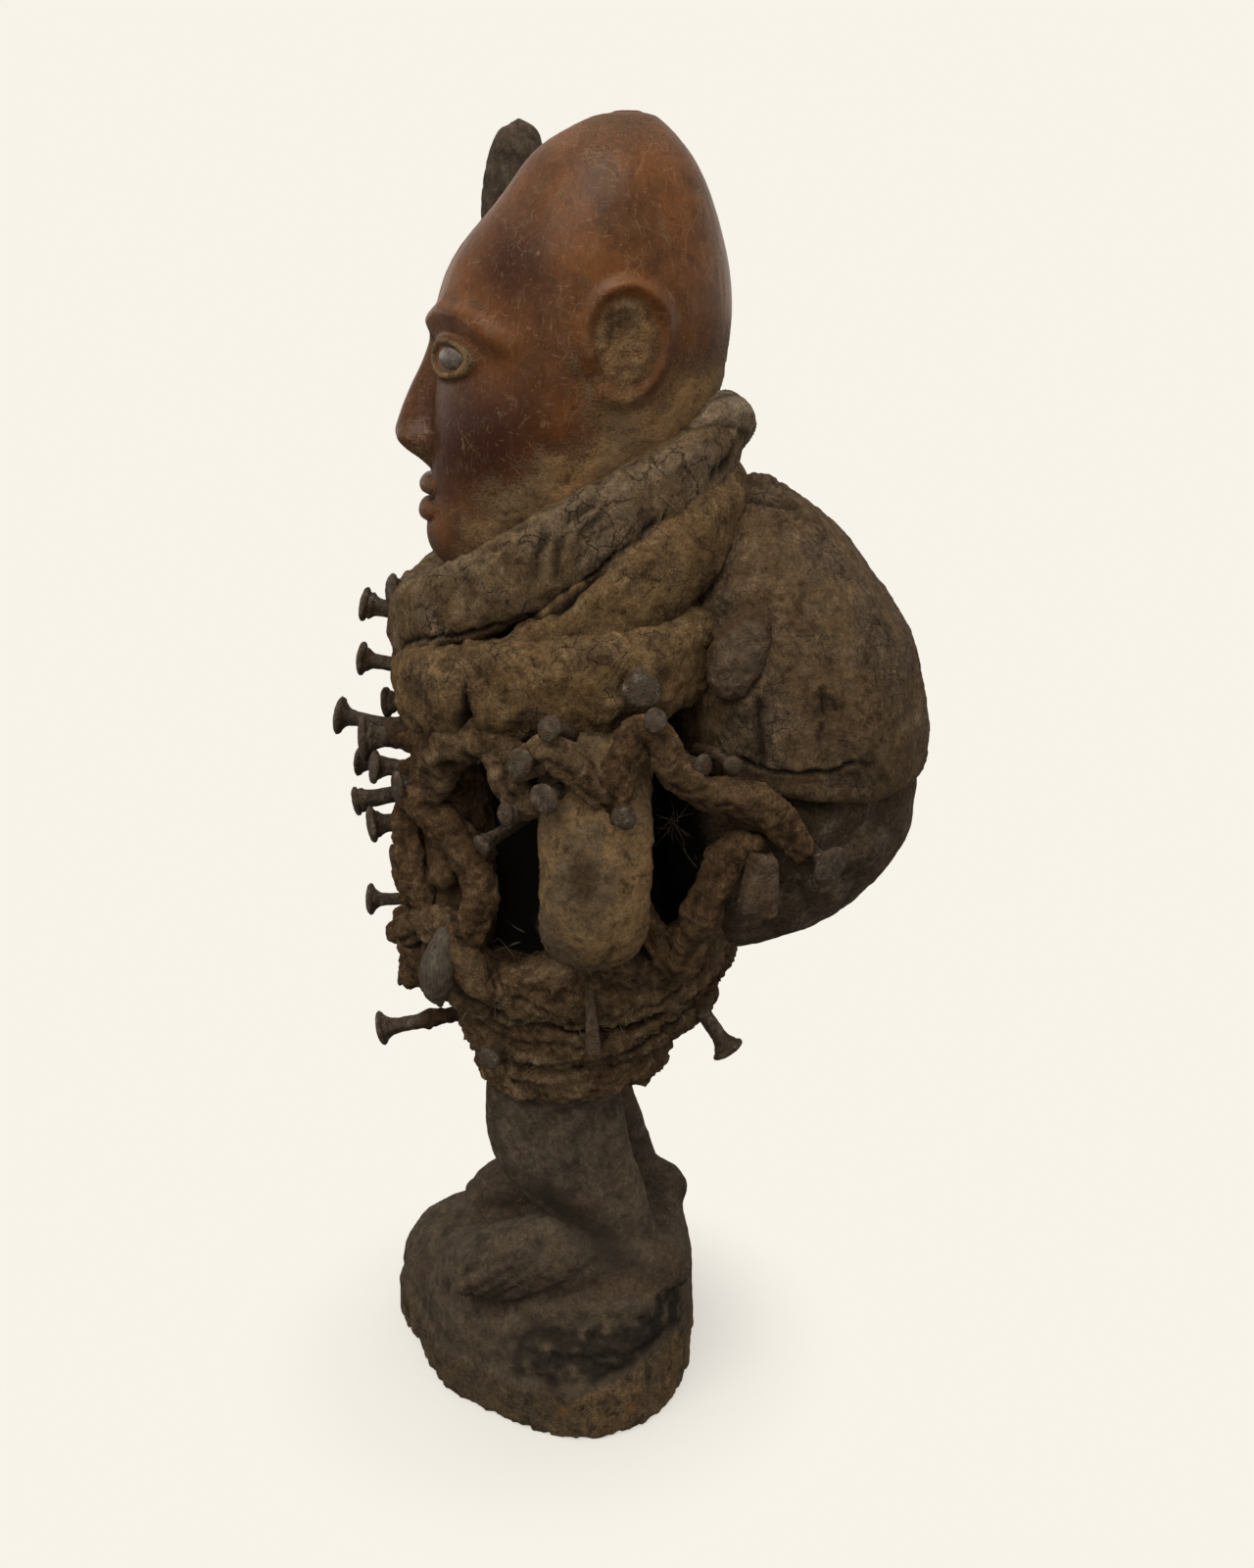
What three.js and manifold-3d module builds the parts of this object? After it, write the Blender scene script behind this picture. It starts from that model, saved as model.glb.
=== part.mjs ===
// A nkisi power figure: one carved block of wood for head, body, arms, legs and base, wound with
// cloth and crusted packs, and driven full of iron nails. Millimetres, +Z up, the face looks
// along -Y and the figure's left is +X. The origin is the centre of the base's underside.
import * as THREE from "three";
import { mergeVertices } from "three/addons/utils/BufferGeometryUtils.js";
import Module from "manifold-3d";

const wasm = await Module();
wasm.setup();

// Driving sizes
const CROWN = 500; // top of the skull above the ground
const CHIN = 336; // underside of the chin
const BASE_RIM = 18; // upright edge of the base
const BASE_TOP = 55; // mound that the feet stand on
const SNUG = 0.3; // clearance of iron and eyes in what holds them
const SLACK = 1; // clearance of wood, cloth and crust in what lies against them
const LEAN = 0.6; // share of the facets round it that a cutter with slack keeps
const HEAD_HEIGHT = CROWN - CHIN;

// A height on the head, as a share of its height below the crown
const down = (share) => CROWN - share * HEAD_HEIGHT;
const EYE_LINE = down(0.5);
const BROW_LINE = down(0.43);
const NOSE_BASE = down(0.71);
const MOUTH_LINE = down(0.81);

const LOOKS = {
  wood: { color: new THREE.Color(0.2, 0.13, 0.085), metalness: 0, roughness: 0.5 },
  cloth: { color: new THREE.Color(0.24, 0.175, 0.105), metalness: 0, roughness: 0.9 },
  crust: { color: new THREE.Color(0.16, 0.105, 0.07), metalness: 0, roughness: 0.95 },
  iron: { color: new THREE.Color(0.11, 0.095, 0.08), metalness: 0.6, roughness: 0.75 },
  glass: { color: new THREE.Color(0.45, 0.38, 0.32), metalness: 0, roughness: 0.2 },
  seed: { color: new THREE.Color(0.2, 0.17, 0.13), metalness: 0, roughness: 0.7 },
};

// The numbers at t, 0 to 1, on a smooth curve through rows of numbers
function glide(rows, t) {
  const last = rows.length - 1;
  const at = Math.min(Math.max(t, 0), 1) * last;
  const i = Math.min(Math.floor(at), last - 1);
  const f = at - i;
  return rows[i].map((b, k) => {
    const c = rows[i + 1][k];
    const a = i > 0 ? rows[i - 1][k] : 2 * b - c;
    const d = i + 2 <= last ? rows[i + 2][k] : 2 * c - b;
    return b + (f * (c - a + f * (2 * a - 5 * b + 4 * c - d + f * (3 * (b - c) + d - a)))) / 2;
  });
}

// How many facets go round a shape, which is fewer where it only cuts its neighbours
const facets = (count, grow) =>
  grow < SLACK ? count : Math.min(count, Math.max(10, Math.round(count * LEAN)));

// How much wider the corners of a leaner shape stand, so that its flats still lie outside
const spread = (count, grow) =>
  facets(count, grow) < count ? 1 / Math.cos(Math.PI / facets(count, grow)) : 1;

// A closed geometry as a solid, turned to face outwards
function solidOf(geometry) {
  const bare = new THREE.BufferGeometry();
  bare.setAttribute("position", geometry.getAttribute("position"));
  bare.setIndex(geometry.getIndex());
  const merged = mergeVertices(bare, 1e-3);
  const make = (triVerts) =>
    new wasm.Manifold(
      new wasm.Mesh({ numProp: 3, vertProperties: merged.attributes.position.array, triVerts }),
    );
  const faces = new Uint32Array(merged.index.array);
  const solid = make(faces);
  return solid.volume() < 0 ? make(faces.reverse()) : solid;
}

// A ball with its skin moved to shape(turn, rise), both 0 to 1, where each pole is one point
function blob(around, along, shape) {
  const ball = new THREE.SphereGeometry(1, around, along);
  const { position, uv } = ball.attributes;
  for (let i = 0; i < position.count; i++) {
    const p = shape(uv.getX(i) * 2 * Math.PI, 1 - uv.getY(i));
    position.setXYZ(i, p.x, p.y, p.z);
  }
  return solidOf(ball);
}

// A limb: rings from ring(t), each a centre and two half axes, closed flat at both ends
function limb(around, along, ring, grow = 0) {
  const wide = spread(around, grow);
  return blob(facets(around, grow), along, (turn, rise) => {
    const step = Math.round(rise * along);
    const { centre, side, deep, end } = ring(Math.min(Math.max((step - 1) / (along - 2), 0), 1));
    const p = centre.clone();
    if (step <= 1) p.addScaledVector(end, -grow);
    if (step >= along - 1) p.addScaledVector(end, grow);
    if (step === 0 || step === along) return p;
    p.addScaledVector(side, Math.cos(turn) * wide * (1 + grow / side.length()));
    return p.addScaledVector(deep, Math.sin(turn) * wide * (1 + grow / deep.length()));
  });
}

// A column of level slices, from rows of height, front y, back y, inner x and outer x
function column(around, along, rows, grow = 0) {
  const ring = (t) => {
    const [z, front, back, inner, outer] = glide(rows, t);
    return {
      centre: new THREE.Vector3((inner + outer) / 2, (front + back) / 2, z),
      side: new THREE.Vector3(Math.abs(outer - inner) / 2, 0, 0),
      deep: new THREE.Vector3(0, (back - front) / 2, 0),
      end: new THREE.Vector3(0, 0, Math.sign(rows.at(-1)[0] - rows[0][0])),
    };
  };
  return limb(around, along, ring, grow);
}

// A bar along a path, from rows of x, y, z, half width across `facing` and half width along it
function bar(around, along, rows, facing, grow = 0) {
  const ring = (t) => {
    const [x, y, z, wide, thick] = glide(rows, t);
    const [ax, ay, az] = glide(rows, t - 0.01);
    const [bx, by, bz] = glide(rows, t + 0.01);
    const end = new THREE.Vector3(bx - ax, by - ay, bz - az).normalize();
    const deep = facing.clone().addScaledVector(end, -facing.dot(end)).normalize();
    const side = new THREE.Vector3().crossVectors(end, deep).multiplyScalar(wide);
    return { centre: new THREE.Vector3(x, y, z), side, deep: deep.multiplyScalar(thick), end };
  };
  return limb(around, along, ring, grow);
}

// An egg at a centre with three half axes
function egg(around, along, centre, halves, grow = 0) {
  return blob(around, along, (turn, rise) => {
    const r = Math.sin(rise * Math.PI);
    return new THREE.Vector3(
      centre[0] + (halves[0] + grow) * r * Math.cos(turn),
      centre[1] + (halves[1] + grow) * r * Math.sin(turn),
      centre[2] + (halves[2] + grow) * Math.cos(rise * Math.PI),
    );
  });
}

// A closed ring of cloth round the body: half width in x, front and back y, a height for each,
// an oval section that is `thick` outwards and `tall` upwards, each a half size, and how round
// the ring is from above, 1 for an ellipse and less for a squarer one
function hoop(around, sides, size, grow) {
  const { halfX, front, back, lowZ, highZ, thick, tall } = size;
  const { sideTall = tall, backTall = tall, square = 0.9 } = size;
  const torus = new THREE.TorusGeometry(1, 0.3, sides, around);
  const { position, uv } = torus.attributes;
  for (let i = 0; i < position.count; i++) {
    const turn = uv.getX(i) * 2 * Math.PI;
    const roll = uv.getY(i) * 2 * Math.PI;
    const aft = Math.sin(turn);
    const height = THREE.MathUtils.lerp(aft < 0 ? tall : backTall, sideTall, Math.cos(turn) ** 2);
    const out = (thick + grow) * Math.cos(roll);
    const up = (height + grow) * Math.sin(roll);
    const across = Math.sign(Math.cos(turn)) * Math.abs(Math.cos(turn)) ** square;
    const along = Math.sign(aft) * Math.abs(aft) ** square;
    position.setXYZ(
      i,
      (halfX + out) * across,
      (front + back) / 2 + ((back - front) / 2 + out) * along,
      THREE.MathUtils.lerp(lowZ, highZ, (aft + 1) / 2) + up,
    );
  }
  return solidOf(torus);
}

// A box turned about x and z
function block(centre, size, tiltX, tiltZ, grow) {
  const box = new THREE.BoxGeometry(...size.map((s) => s + 2 * grow));
  box.rotateX(tiltX);
  box.rotateZ(tiltZ);
  box.translate(...centre);
  return solidOf(box);
}

const mirrored = (rows) => rows.map(([x, ...rest]) => [-x, ...rest]);
const union = (solids) => solids.reduce((whole, next) => whole.add(next));
const alongX = new THREE.Vector3(1, 0, 0);
const alongY = new THREE.Vector3(0, 1, 0);
const alongZ = new THREE.Vector3(0, 0, 1);

// Head: height, front, back, and the two sides
const HEAD_ROWS = [
  [CROWN, 34, 40, -3, 3],
  [497, 22, 49, -17, 17],
  [487, 5, 58.5, -30, 30],
  [471, -8, 67, -39, 39],
  [450, -25, 73, -45, 45],
  [430, -32, 74.5, -47, 47],
  [410, -33, 70.5, -47, 47],
  [390, -34, 62, -45, 45],
  [370, -35, 51, -39, 39],
  [352, -34, 38, -30, 30],
  [CHIN, -24, 20, -14, 14],
];

// Half width of the head at a height and depth
function headSide(y, z) {
  let best = HEAD_ROWS[0];
  for (let t = 0; t <= 1; t += 0.005) {
    const row = glide(HEAD_ROWS, t);
    if (Math.abs(row[0] - z) < Math.abs(best[0] - z)) best = row;
  }
  const [, front, back, , outer] = best;
  const share = (y - (front + back) / 2) / ((back - front) / 2);
  return outer * Math.sqrt(Math.max(1 - share * share, 0));
}

// Nose, lips, chin, brows and ears, on plain proportions
function face() {
  const nose = [
    [EYE_LINE + 6, -37, -26, -4, 4],
    [EYE_LINE - 8, -41, -26, -6, 6],
    [NOSE_BASE + 12, -47, -26, -9, 9],
    [NOSE_BASE + 4, -50, -26, -12.5, 12.5],
    [NOSE_BASE, -46, -26, -12, 12],
  ];
  const parts = [
    column(8, 7, nose),
    egg(8, 4, [0, -35, MOUTH_LINE + 4], [14, 6.5, 4.5]),
    egg(8, 4, [0, -35, MOUTH_LINE - 4.5], [12.5, 6.5, 4.5]),
    egg(8, 5, [0, -27, MOUTH_LINE - 17], [15, 11, 11]),
  ];
  for (const hand of [-1, 1]) {
    const brow = [
      [5, -33, BROW_LINE, 2.5, 2.5],
      [18, -32, BROW_LINE + 4, 4, 4],
      [31, -22, BROW_LINE + 3, 4, 4],
      [41, -5, BROW_LINE - 5, 2.5, 2.5],
    ].map(([x, ...rest]) => [hand * x, ...rest]);
    parts.push(bar(6, 7, brow, alongZ));
    const rim = [
      [25, 417, 2], [23, 430, 3], [30, 441, 3.5], [41, 443, 3.5], [50, 435, 3.5],
      [50, 422, 3.5], [45, 411, 3.5], [36, 406, 4], [29, 409, 2],
    ].map(([y, z, r]) => [hand * headSide(y, z), y, z, r, r]);
    parts.push(bar(5, 10, rim, alongX));
  }
  return parts;
}

// Neck, chest, belly and hips
const TORSO_ROWS = [
  [392, 5, 50, -22, 22],
  [365, -2, 50, -25, 25],
  [340, -8, 52, -28, 28],
  [318, -16, 56, -42, 42],
  [300, -24, 58, -46, 46],
  [272, -28, 58, -42, 42],
  [240, -30, 54, -36, 36],
  [210, -30, 55, -35, 35],
  [185, -27, 60, -38, 38],
  [160, -24, 58, -38, 38],
  [140, -18, 44, -35, 35],
  [128, -12, 38, -30, 30],
];

// Left arm: bent, with the hand on the hip. Right arm: raised beside the head, the fist closed.
const LEFT_ARM = [
  [26, 26, 292, 17, 20],
  [56, 26, 288, 17, 20],
  [73, 26, 268, 14, 20],
  [78, 26, 244, 13, 20],
  [72, 25, 223, 13.5, 19],
  [52, 22, 215, 12, 16],
  [34, 14, 213, 11, 15],
];
const RIGHT_ARM = [
  [-26, 26, 292, 17, 19],
  [-58, 26, 288, 16, 19],
  [-80, 24, 297, 15, 17],
  [-90, 18, 325, 13, 15],
  [-88, 9, 365, 11.5, 13],
  [-83, 1, 405, 10.5, 12],
  [-78, -5, 440, 10.5, 12],
  [-75, -7, 464, 12.5, 13.5],
  [-74, -6, 483, 12, 12],
  [-74, -5, 496, 8, 8],
  [-74, -5, 499, 3, 3],
];

// One leg, bent at the knee, as level slices, and its foot, from heel to toes
const LEG_ROWS = [
  [150, -19, 34, 4, 43],
  [133, -19, 35, 7, 43],
  [119, -19, 37, 10, 45],
  [106, -15, 40, 12, 45],
  [94, -6, 44, 14, 44],
  [80, 5, 48, 17, 42],
  [66, 10, 52, 19, 41],
  [50, 8, 55, 20, 40],
];
const FOOT_ROLL = 0.3; // how far a foot's upper side leans outwards
const FOOT_ROWS = [
  [30, 60, 57, 8, 6],
  [30, 53, 59, 12, 11],
  [31, 32, 62, 14, 17],
  [31, 10, 63, 14.5, 21],
  [30, -6, 60, 15.5, 18],
  [28, -19, 58, 16, 13],
  [27, -30, 55, 13.5, 8],
];

// Outline of the base on the ground, x and y, anticlockwise from the left corner
const BASE_PLAN = [
  [66, 17], [61, 36], [49, 50], [30, 60], [8, 64], [-16, 65], [-40, 60], [-58, 45],
  [-66, 20], [-64, -10], [-55, -38], [-38, -61], [-17, -62], [2, -53], [17, -47], [33, -38],
  [47, -20], [59, -2],
];

// Heights of the base, each with how far the outline is drawn in at the sides, behind and in front
const BASE_STEPS = [
  [0, 1, 1, 1],
  [BASE_RIM, 1, 1, 1],
  [34, 0.87, 0.99, 0.95],
  [47, 0.69, 0.95, 0.84],
  [BASE_TOP - 2, 0.54, 0.87, 0.73],
  [BASE_TOP + 1, 0.3, 0.6, 0.5],
];
const BASE_REAR = [10, 55]; // y from which the sides turn into the rear, and to which
const BASE_FORE = [5, 45]; // the same forwards
const HEEL_LIFT = 0.16; // how much higher the mound is behind the heels, as a share of its height

// The base: an upright rim, then a mound that is highest behind the heels
function base() {
  const { lerp, smoothstep } = THREE.MathUtils;
  const closed = [...BASE_PLAN, BASE_PLAN[0]];
  const last = BASE_STEPS.length - 1;
  return blob(22, last + 2, (turn, rise) => {
    const step = Math.round(rise * (last + 2));
    const [z, side, rear, fore] = BASE_STEPS[Math.min(Math.max(step - 1, 0), last)];
    if (step === 0 || step === last + 2) return new THREE.Vector3(0, 0, z);
    const [x, y] = glide(closed, turn / (2 * Math.PI));
    const behind = smoothstep(y, ...BASE_REAR);
    const ahead = smoothstep(-y, ...BASE_FORE);
    const drawnIn = y > 0 ? lerp(side, rear, behind) : lerp(side, fore, ahead);
    const lift = z > BASE_RIM ? 1 + HEEL_LIFT * behind : 1;
    return new THREE.Vector3(x * drawnIn, y * drawnIn, z * lift);
  });
}

const BETWEEN_TOES = [18.5, 24.5, 30.5, 36]; // distance of each groove from the middle
const BETWEEN_FINGERS = [468, 475, 482]; // height of each groove
const TOE_CUT = { size: [1.6, 22, 11], at: [-24, 62], slope: 0.45 };
const FINGER_CUT = { size: [14, 12, 1.4], at: [-84, -17] };

// Grooves between toes and fingers, as thin boxes standing in the surface
function grooves() {
  const cuts = [];
  for (const hand of [-1, 1]) {
    for (const x of BETWEEN_TOES) {
      cuts.push(block([hand * x, ...TOE_CUT.at], TOE_CUT.size, TOE_CUT.slope, 0, 0));
    }
  }
  for (const z of BETWEEN_FINGERS) {
    cuts.push(block([...FINGER_CUT.at, z], FINGER_CUT.size, 0, 0, 0));
  }
  return union(cuts);
}

const leg = (hand) => LEG_ROWS.map(([z, f, b, i, o]) => [z, f, b, hand * i, hand * o]);

// The parts of the carved block that cloth and crust lie against
const trunk = (grow) => [
  column(18, 13, HEAD_ROWS, grow),
  column(10, 9, TORSO_ROWS, grow),
  bar(8, 10, LEFT_ARM, alongY, grow),
  bar(8, 13, RIGHT_ARM, alongY, grow),
  column(9, 9, leg(1), grow),
  column(9, 9, leg(-1), grow),
];

// The carved block
function figure() {
  const feet = [
    bar(8, 8, FOOT_ROWS, new THREE.Vector3(FOOT_ROLL, 0, 1)),
    bar(8, 8, mirrored(FOOT_ROWS), new THREE.Vector3(-FOOT_ROLL, 0, 1)),
  ];
  return union([...trunk(0), ...face(), ...feet, base()]).subtract(grooves());
}

// Inlaid eyes
const eyeInlay = (hand) => (grow) =>
  egg(10, 5, [hand * 22, -24.5, EYE_LINE], [9.5, 6, 6], grow);

// Cloth wound round neck, shoulders and hips
const HOOPS = {
  collar_upper_wrap: {
    halfX: 46, front: -38, back: 64, lowZ: 321, highZ: 386, thick: 14, tall: 15, sideTall: 17,
    backTall: 12,
  },
  collar_middle_wrap: {
    halfX: 53, front: -22, back: 68, lowZ: 291, highZ: 365, thick: 14, tall: 12, sideTall: 20,
    backTall: 16,
  },
  collar_lower_wrap: {
    halfX: 60, front: -35, back: 62, lowZ: 303, highZ: 319, thick: 16, tall: 15, sideTall: 18,
    backTall: 18, square: 0.8,
  },
  hip_wrap_upper: {
    halfX: 50, front: -27, back: 70, lowZ: 184, highZ: 197, thick: 11, tall: 13, sideTall: 12,
  },
  hip_wrap_lower: {
    halfX: 46, front: -21, back: 64, lowZ: 164, highZ: 176, thick: 10, tall: 10, sideTall: 10,
  },
  hip_band: {
    halfX: 43, front: -15, back: 47, lowZ: 147, highZ: 153, thick: 9, tall: 8, square: 0.8,
  },
};
const wrap = (name, around) => (grow) => hoop(around, 6, HOOPS[name], grow);

// The cloth's knotted end at the nape
const KNOT = [
  [24, 60, 392, 5, 5],
  [16, 69, 397, 8, 8],
  [4, 74, 395, 9.5, 9.5],
  [-10, 72, 388, 9, 9],
  [-20, 66, 382, 6, 6],
];

// Bundle on the back, and the sling of cloth that holds it from below
const BUNDLE_ROWS = [
  [372, 80, 92, -10, 10],
  [368, 72, 100, -26, 26],
  [357, 64, 114, -43, 43],
  [341, 56, 128, -57, 57],
  [320, 50, 142, -66, 66],
  [300, 48, 149, -70, 70],
  [282, 48, 152, -70, 70],
  [269, 54, 150, -64, 64],
  [262, 66, 140, -50, 50],
];
const SLING_ROWS = [
  [274, 56, 140, -50, 50],
  [262, 52, 148, -58, 58],
  [248, 50, 148, -55, 55],
  [236, 50, 146, -50, 50],
  [222, 51, 137, -44, 44],
  [209, 52, 125, -36, 36],
  [199, 56, 108, -26, 26],
  [192, 64, 92, -14, 14],
];

// Crusted mass on chest and belly that the front nails go through
const BELLY_ROWS = [
  [292, -41, -18, -26, 28],
  [282, -45, -10, -38, 40],
  [258, -46, -8, -41, 43],
  [232, -45, -8, -39, 42],
  [208, -49, -8, -37, 41],
  [192, -54, -8, -35, 38],
  [178, -50, -12, -27, 30],
];

// Twisted, crusted cloth strips caught round the nails: x, y, z and the two half widths
const STRIPS = {
  strip_over_arm: [
    [82, 31, 268, 5, 5], [83, 34, 285, 6, 5.5], [80, 40, 297, 6, 5.5], [79, 47, 297, 6, 5.5],
    [79, 54, 284, 6, 5.5], [77, 65, 276, 6, 5.5], [74, 78, 273, 7, 6], [69, 89, 264, 7, 6],
    [66, 99, 252, 5, 5],
  ],
  strip_arm_front: [
    [80, 2, 287, 5, 5], [84, 10, 293, 6, 5.5], [85, 20, 288, 6.5, 5.5], [84, 28, 277, 5, 5],
  ],
  strip_chest_fold: [
    [44, -33, 267, 6, 6], [52, -29, 282, 8.5, 7], [60, -18, 290, 8.5, 7], [67, -8, 290, 8, 7],
    [72, -3, 278, 7, 6], [75, 3, 271, 5, 5],
  ],
  strip_belly_long: [
    [36, -42, 262, 6, 6], [44, -31, 254, 7, 6], [50, -22, 245, 7, 6], [54, -17, 232, 7, 6],
    [53, -20, 217, 6, 6], [49, -27, 206, 6, 6],
  ],
  strip_belly_short: [
    [27, -46, 256, 5, 5], [32, -45, 242, 6, 5.5], [37, -42, 226, 7, 6], [41, -38, 218, 5, 5],
  ],
  strip_hip_front: [
    [36, -46, 206, 6, 6], [42, -39, 214, 7, 6], [48, -28, 211, 8.5, 7], [52, -20, 199, 8.5, 7],
    [54, -14, 190, 5, 5],
  ],
  strip_hip_back: [
    [67, 82, 254, 5, 5], [68, 74, 251, 7, 6], [69, 68, 238, 7, 6], [66, 62, 222, 7, 6],
    [61, 57, 205, 6, 6],
  ],
  strip_hip_cross: [
    [52, 40, 226, 4, 4], [57, 47, 214, 5, 5], [58, 54, 203, 5.5, 5.5],
  ],
  strip_right_chest: [
    [-44, -36, 262, 6, 6], [-54, -28, 272, 7, 6.5], [-60, -14, 273, 8, 6.5], [-62, -2, 264, 6, 6],
  ],
  strip_right_flank: [
    [-58, 2, 252, 6, 6], [-58, 16, 244, 7, 6], [-56, 34, 240, 7, 6], [-58, 54, 236, 7, 6],
    [-62, 70, 228, 5, 5],
  ],
};

// A pointed seed pod bound in at the left hip
const POD = [
  [51, -29, 219, 0.8, 0.8],
  [53, -31, 209, 4.5, 4],
  [54, -33, 199, 6.5, 5.5],
  [53, -34, 190, 4.5, 4],
  [51, -33, 184, 0.8, 0.8],
];

// Nails: centre of the head's underside, buried tip, head radius and shank radius
const NAILS = {
  nail_chin: [[6, -51, 333], [0, -30, 328], 5.4, 2.4],
  nail_throat: [[0, -62, 325.5], [0, -34, 319], 6.4, 3.2],
  nail_collar: [[0, -64, 304.5], [0, -34, 300], 6.6, 2.8],
  nail_chest_right: [[-12, -57, 284], [-8, -26, 288], 5.8, 2.8],
  nail_chest_long: [[-4, -74, 281], [-1, -26, 273], 7.2, 2.6],
  nail_chest_thick: [[16, -62, 277.5], [12, -24, 279], 8.4, 3.8],
  nail_chest_low: [[-17, -69, 259], [-9, -24, 252], 6.6, 2.8],
  nail_chest_short: [[28, -57, 270], [21, -25, 264], 6.6, 2.6],
  nail_left_breast: [[36, -47.5, 264.5], [24, -14, 268], 6.4, 3],
  nail_belly_upper: [[5, -68, 249], [3, -24, 257], 5.6, 3],
  nail_belly_left: [[20, -60, 244.5], [14, -24, 247], 7.4, 3.2],
  nail_belly_short: [[24, -51, 231], [17, -24, 234], 6.4, 3],
  nail_belly_long: [[0, -65, 206], [0, -24, 208], 6, 2.4],
  nail_belly_stub: [[-14, -52, 186], [-10, -22, 184], 4.6, 3],
  nail_hip_hooked: [[-6, -55, 171], [-2, -16, 166], 4.6, 2.6],
  nail_hip_front: [[6, -62, 152.5], [4, -22, 160], 6.8, 2.8],
  nail_shoulder: [[77.5, 42, 313], [48, 42, 310], 6.6, 3],
  nail_arm_top: [[90, 11, 303], [64, 20, 292], 4.4, 2.2],
  nail_arm_upper: [[89, 1, 290.5], [64, 14, 284], 5, 2.3],
  nail_arm_middle: [[92, 9, 279], [68, 18, 276], 5.2, 2.3],
  nail_arm_lower: [[79, -5, 269], [60, 14, 268], 4, 2.3],
  nail_arm_back: [[91, 36, 272], [68, 33, 270], 4.2, 2],
  nail_belly_side: [[61, -15, 251], [36, 12, 262], 4, 2.2],
  nail_strip: [[87.5, 46.5, 305], [50, 44, 290], 4.2, 2],
  nail_flank_upper: [[80, 63, 287], [44, 52, 280], 3.6, 1.8],
  nail_flank_lower: [[83, 73, 288], [50, 62, 284], 3.2, 1.6],
  nail_sling: [[69, 109, 246], [50, 96, 250], 7.4, 3],
  nail_hip_side: [[54, -15, 163], [34, -4, 166], 4.6, 2],
  nail_hip_behind: [[40, 76, 160], [31, 56, 188], 6.8, 2.8],
  nail_right_shoulder: [[-72, -16, 309], [-46, 6, 304], 6.2, 2.8],
  nail_right_chest: [[-64, -18, 288], [-40, 4, 280], 5.8, 2.6],
  nail_right_belly: [[-62, -34, 246], [-30, -12, 244], 6, 2.6],
  nail_right_flank: [[-72, 40, 258], [-28, 34, 252], 6.2, 2.8],
};

const DOME = 0.3; // height of a nail's domed head, as a share of its radius
const FLARE = 2.5; // length over which the shank widens into the head
const TAPER = 0.8; // thickness of the shank at its tip, as a share of that under the head

// A nail's outline turned about its own axis, then laid from tip to head. The hole it needs has
// five sides, each clear of the shank.
function nail([head, tip, radius, shank], grow) {
  const from = new THREE.Vector3(...tip);
  const to = new THREE.Vector3(...head);
  const long = from.distanceTo(to);
  const sides = grow ? 5 : 6;
  const wide = grow ? 1 / Math.cos(Math.PI / sides) : 1;
  const outline = [
    [0, long + radius * DOME + grow],
    ...(grow ? [[(radius + grow) * wide, long + grow]] : []),
    [(radius + grow) * wide, long - grow],
    [(shank + grow) * wide, long - FLARE - grow],
    [(shank * TAPER + grow) * wide, -grow],
    [0, -grow],
  ].map(([x, y]) => new THREE.Vector2(x, y));
  const turned = new THREE.LatheGeometry(outline, sides);
  const direction = to.sub(from).normalize();
  turned.applyQuaternion(new THREE.Quaternion().setFromUnitVectors(alongY, direction));
  turned.translate(from.x, from.y, from.z);
  return solidOf(turned);
}

// A worn square wedge under the bundle, and a flat tack that hangs at the hip
const ironWedge = (grow) => block([74, 84, 241], [7, 13, 23], -0.12, 0.35, grow);
const flatTack = (grow) => block([64, 24, 183], [2.6, 4.5, 27], 0.06, 0, grow);

// The big domed oval head of the nail that pins the bundle: its centre, its half sizes, and how
// far it leans inwards and backwards for each millimetre up
const STUD = { centre: [61, 76, 321], halves: [8, 11, 16], lean: [-0.12, 0.25] };
const bundleStud = (grow) =>
  blob(12, 6, (turn, rise) => {
    const [thick, wide, tall] = STUD.halves.map((half) => half + grow);
    const r = Math.sin(rise * Math.PI);
    const up = tall * Math.cos(rise * Math.PI);
    const out = thick * r * Math.cos(turn) + STUD.lean[0] * up;
    const side = wide * r * Math.sin(turn) + STUD.lean[1] * up;
    return new THREE.Vector3(out, side, up).add(new THREE.Vector3(...STUD.centre));
  });

// A piece: its solid, and the grown solid that cuts the pieces after it
const piece = (name, look, make, slack = SLACK, cutter = make) => ({
  name,
  look,
  solid: make(0),
  cutter: cutter(slack),
});

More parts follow.
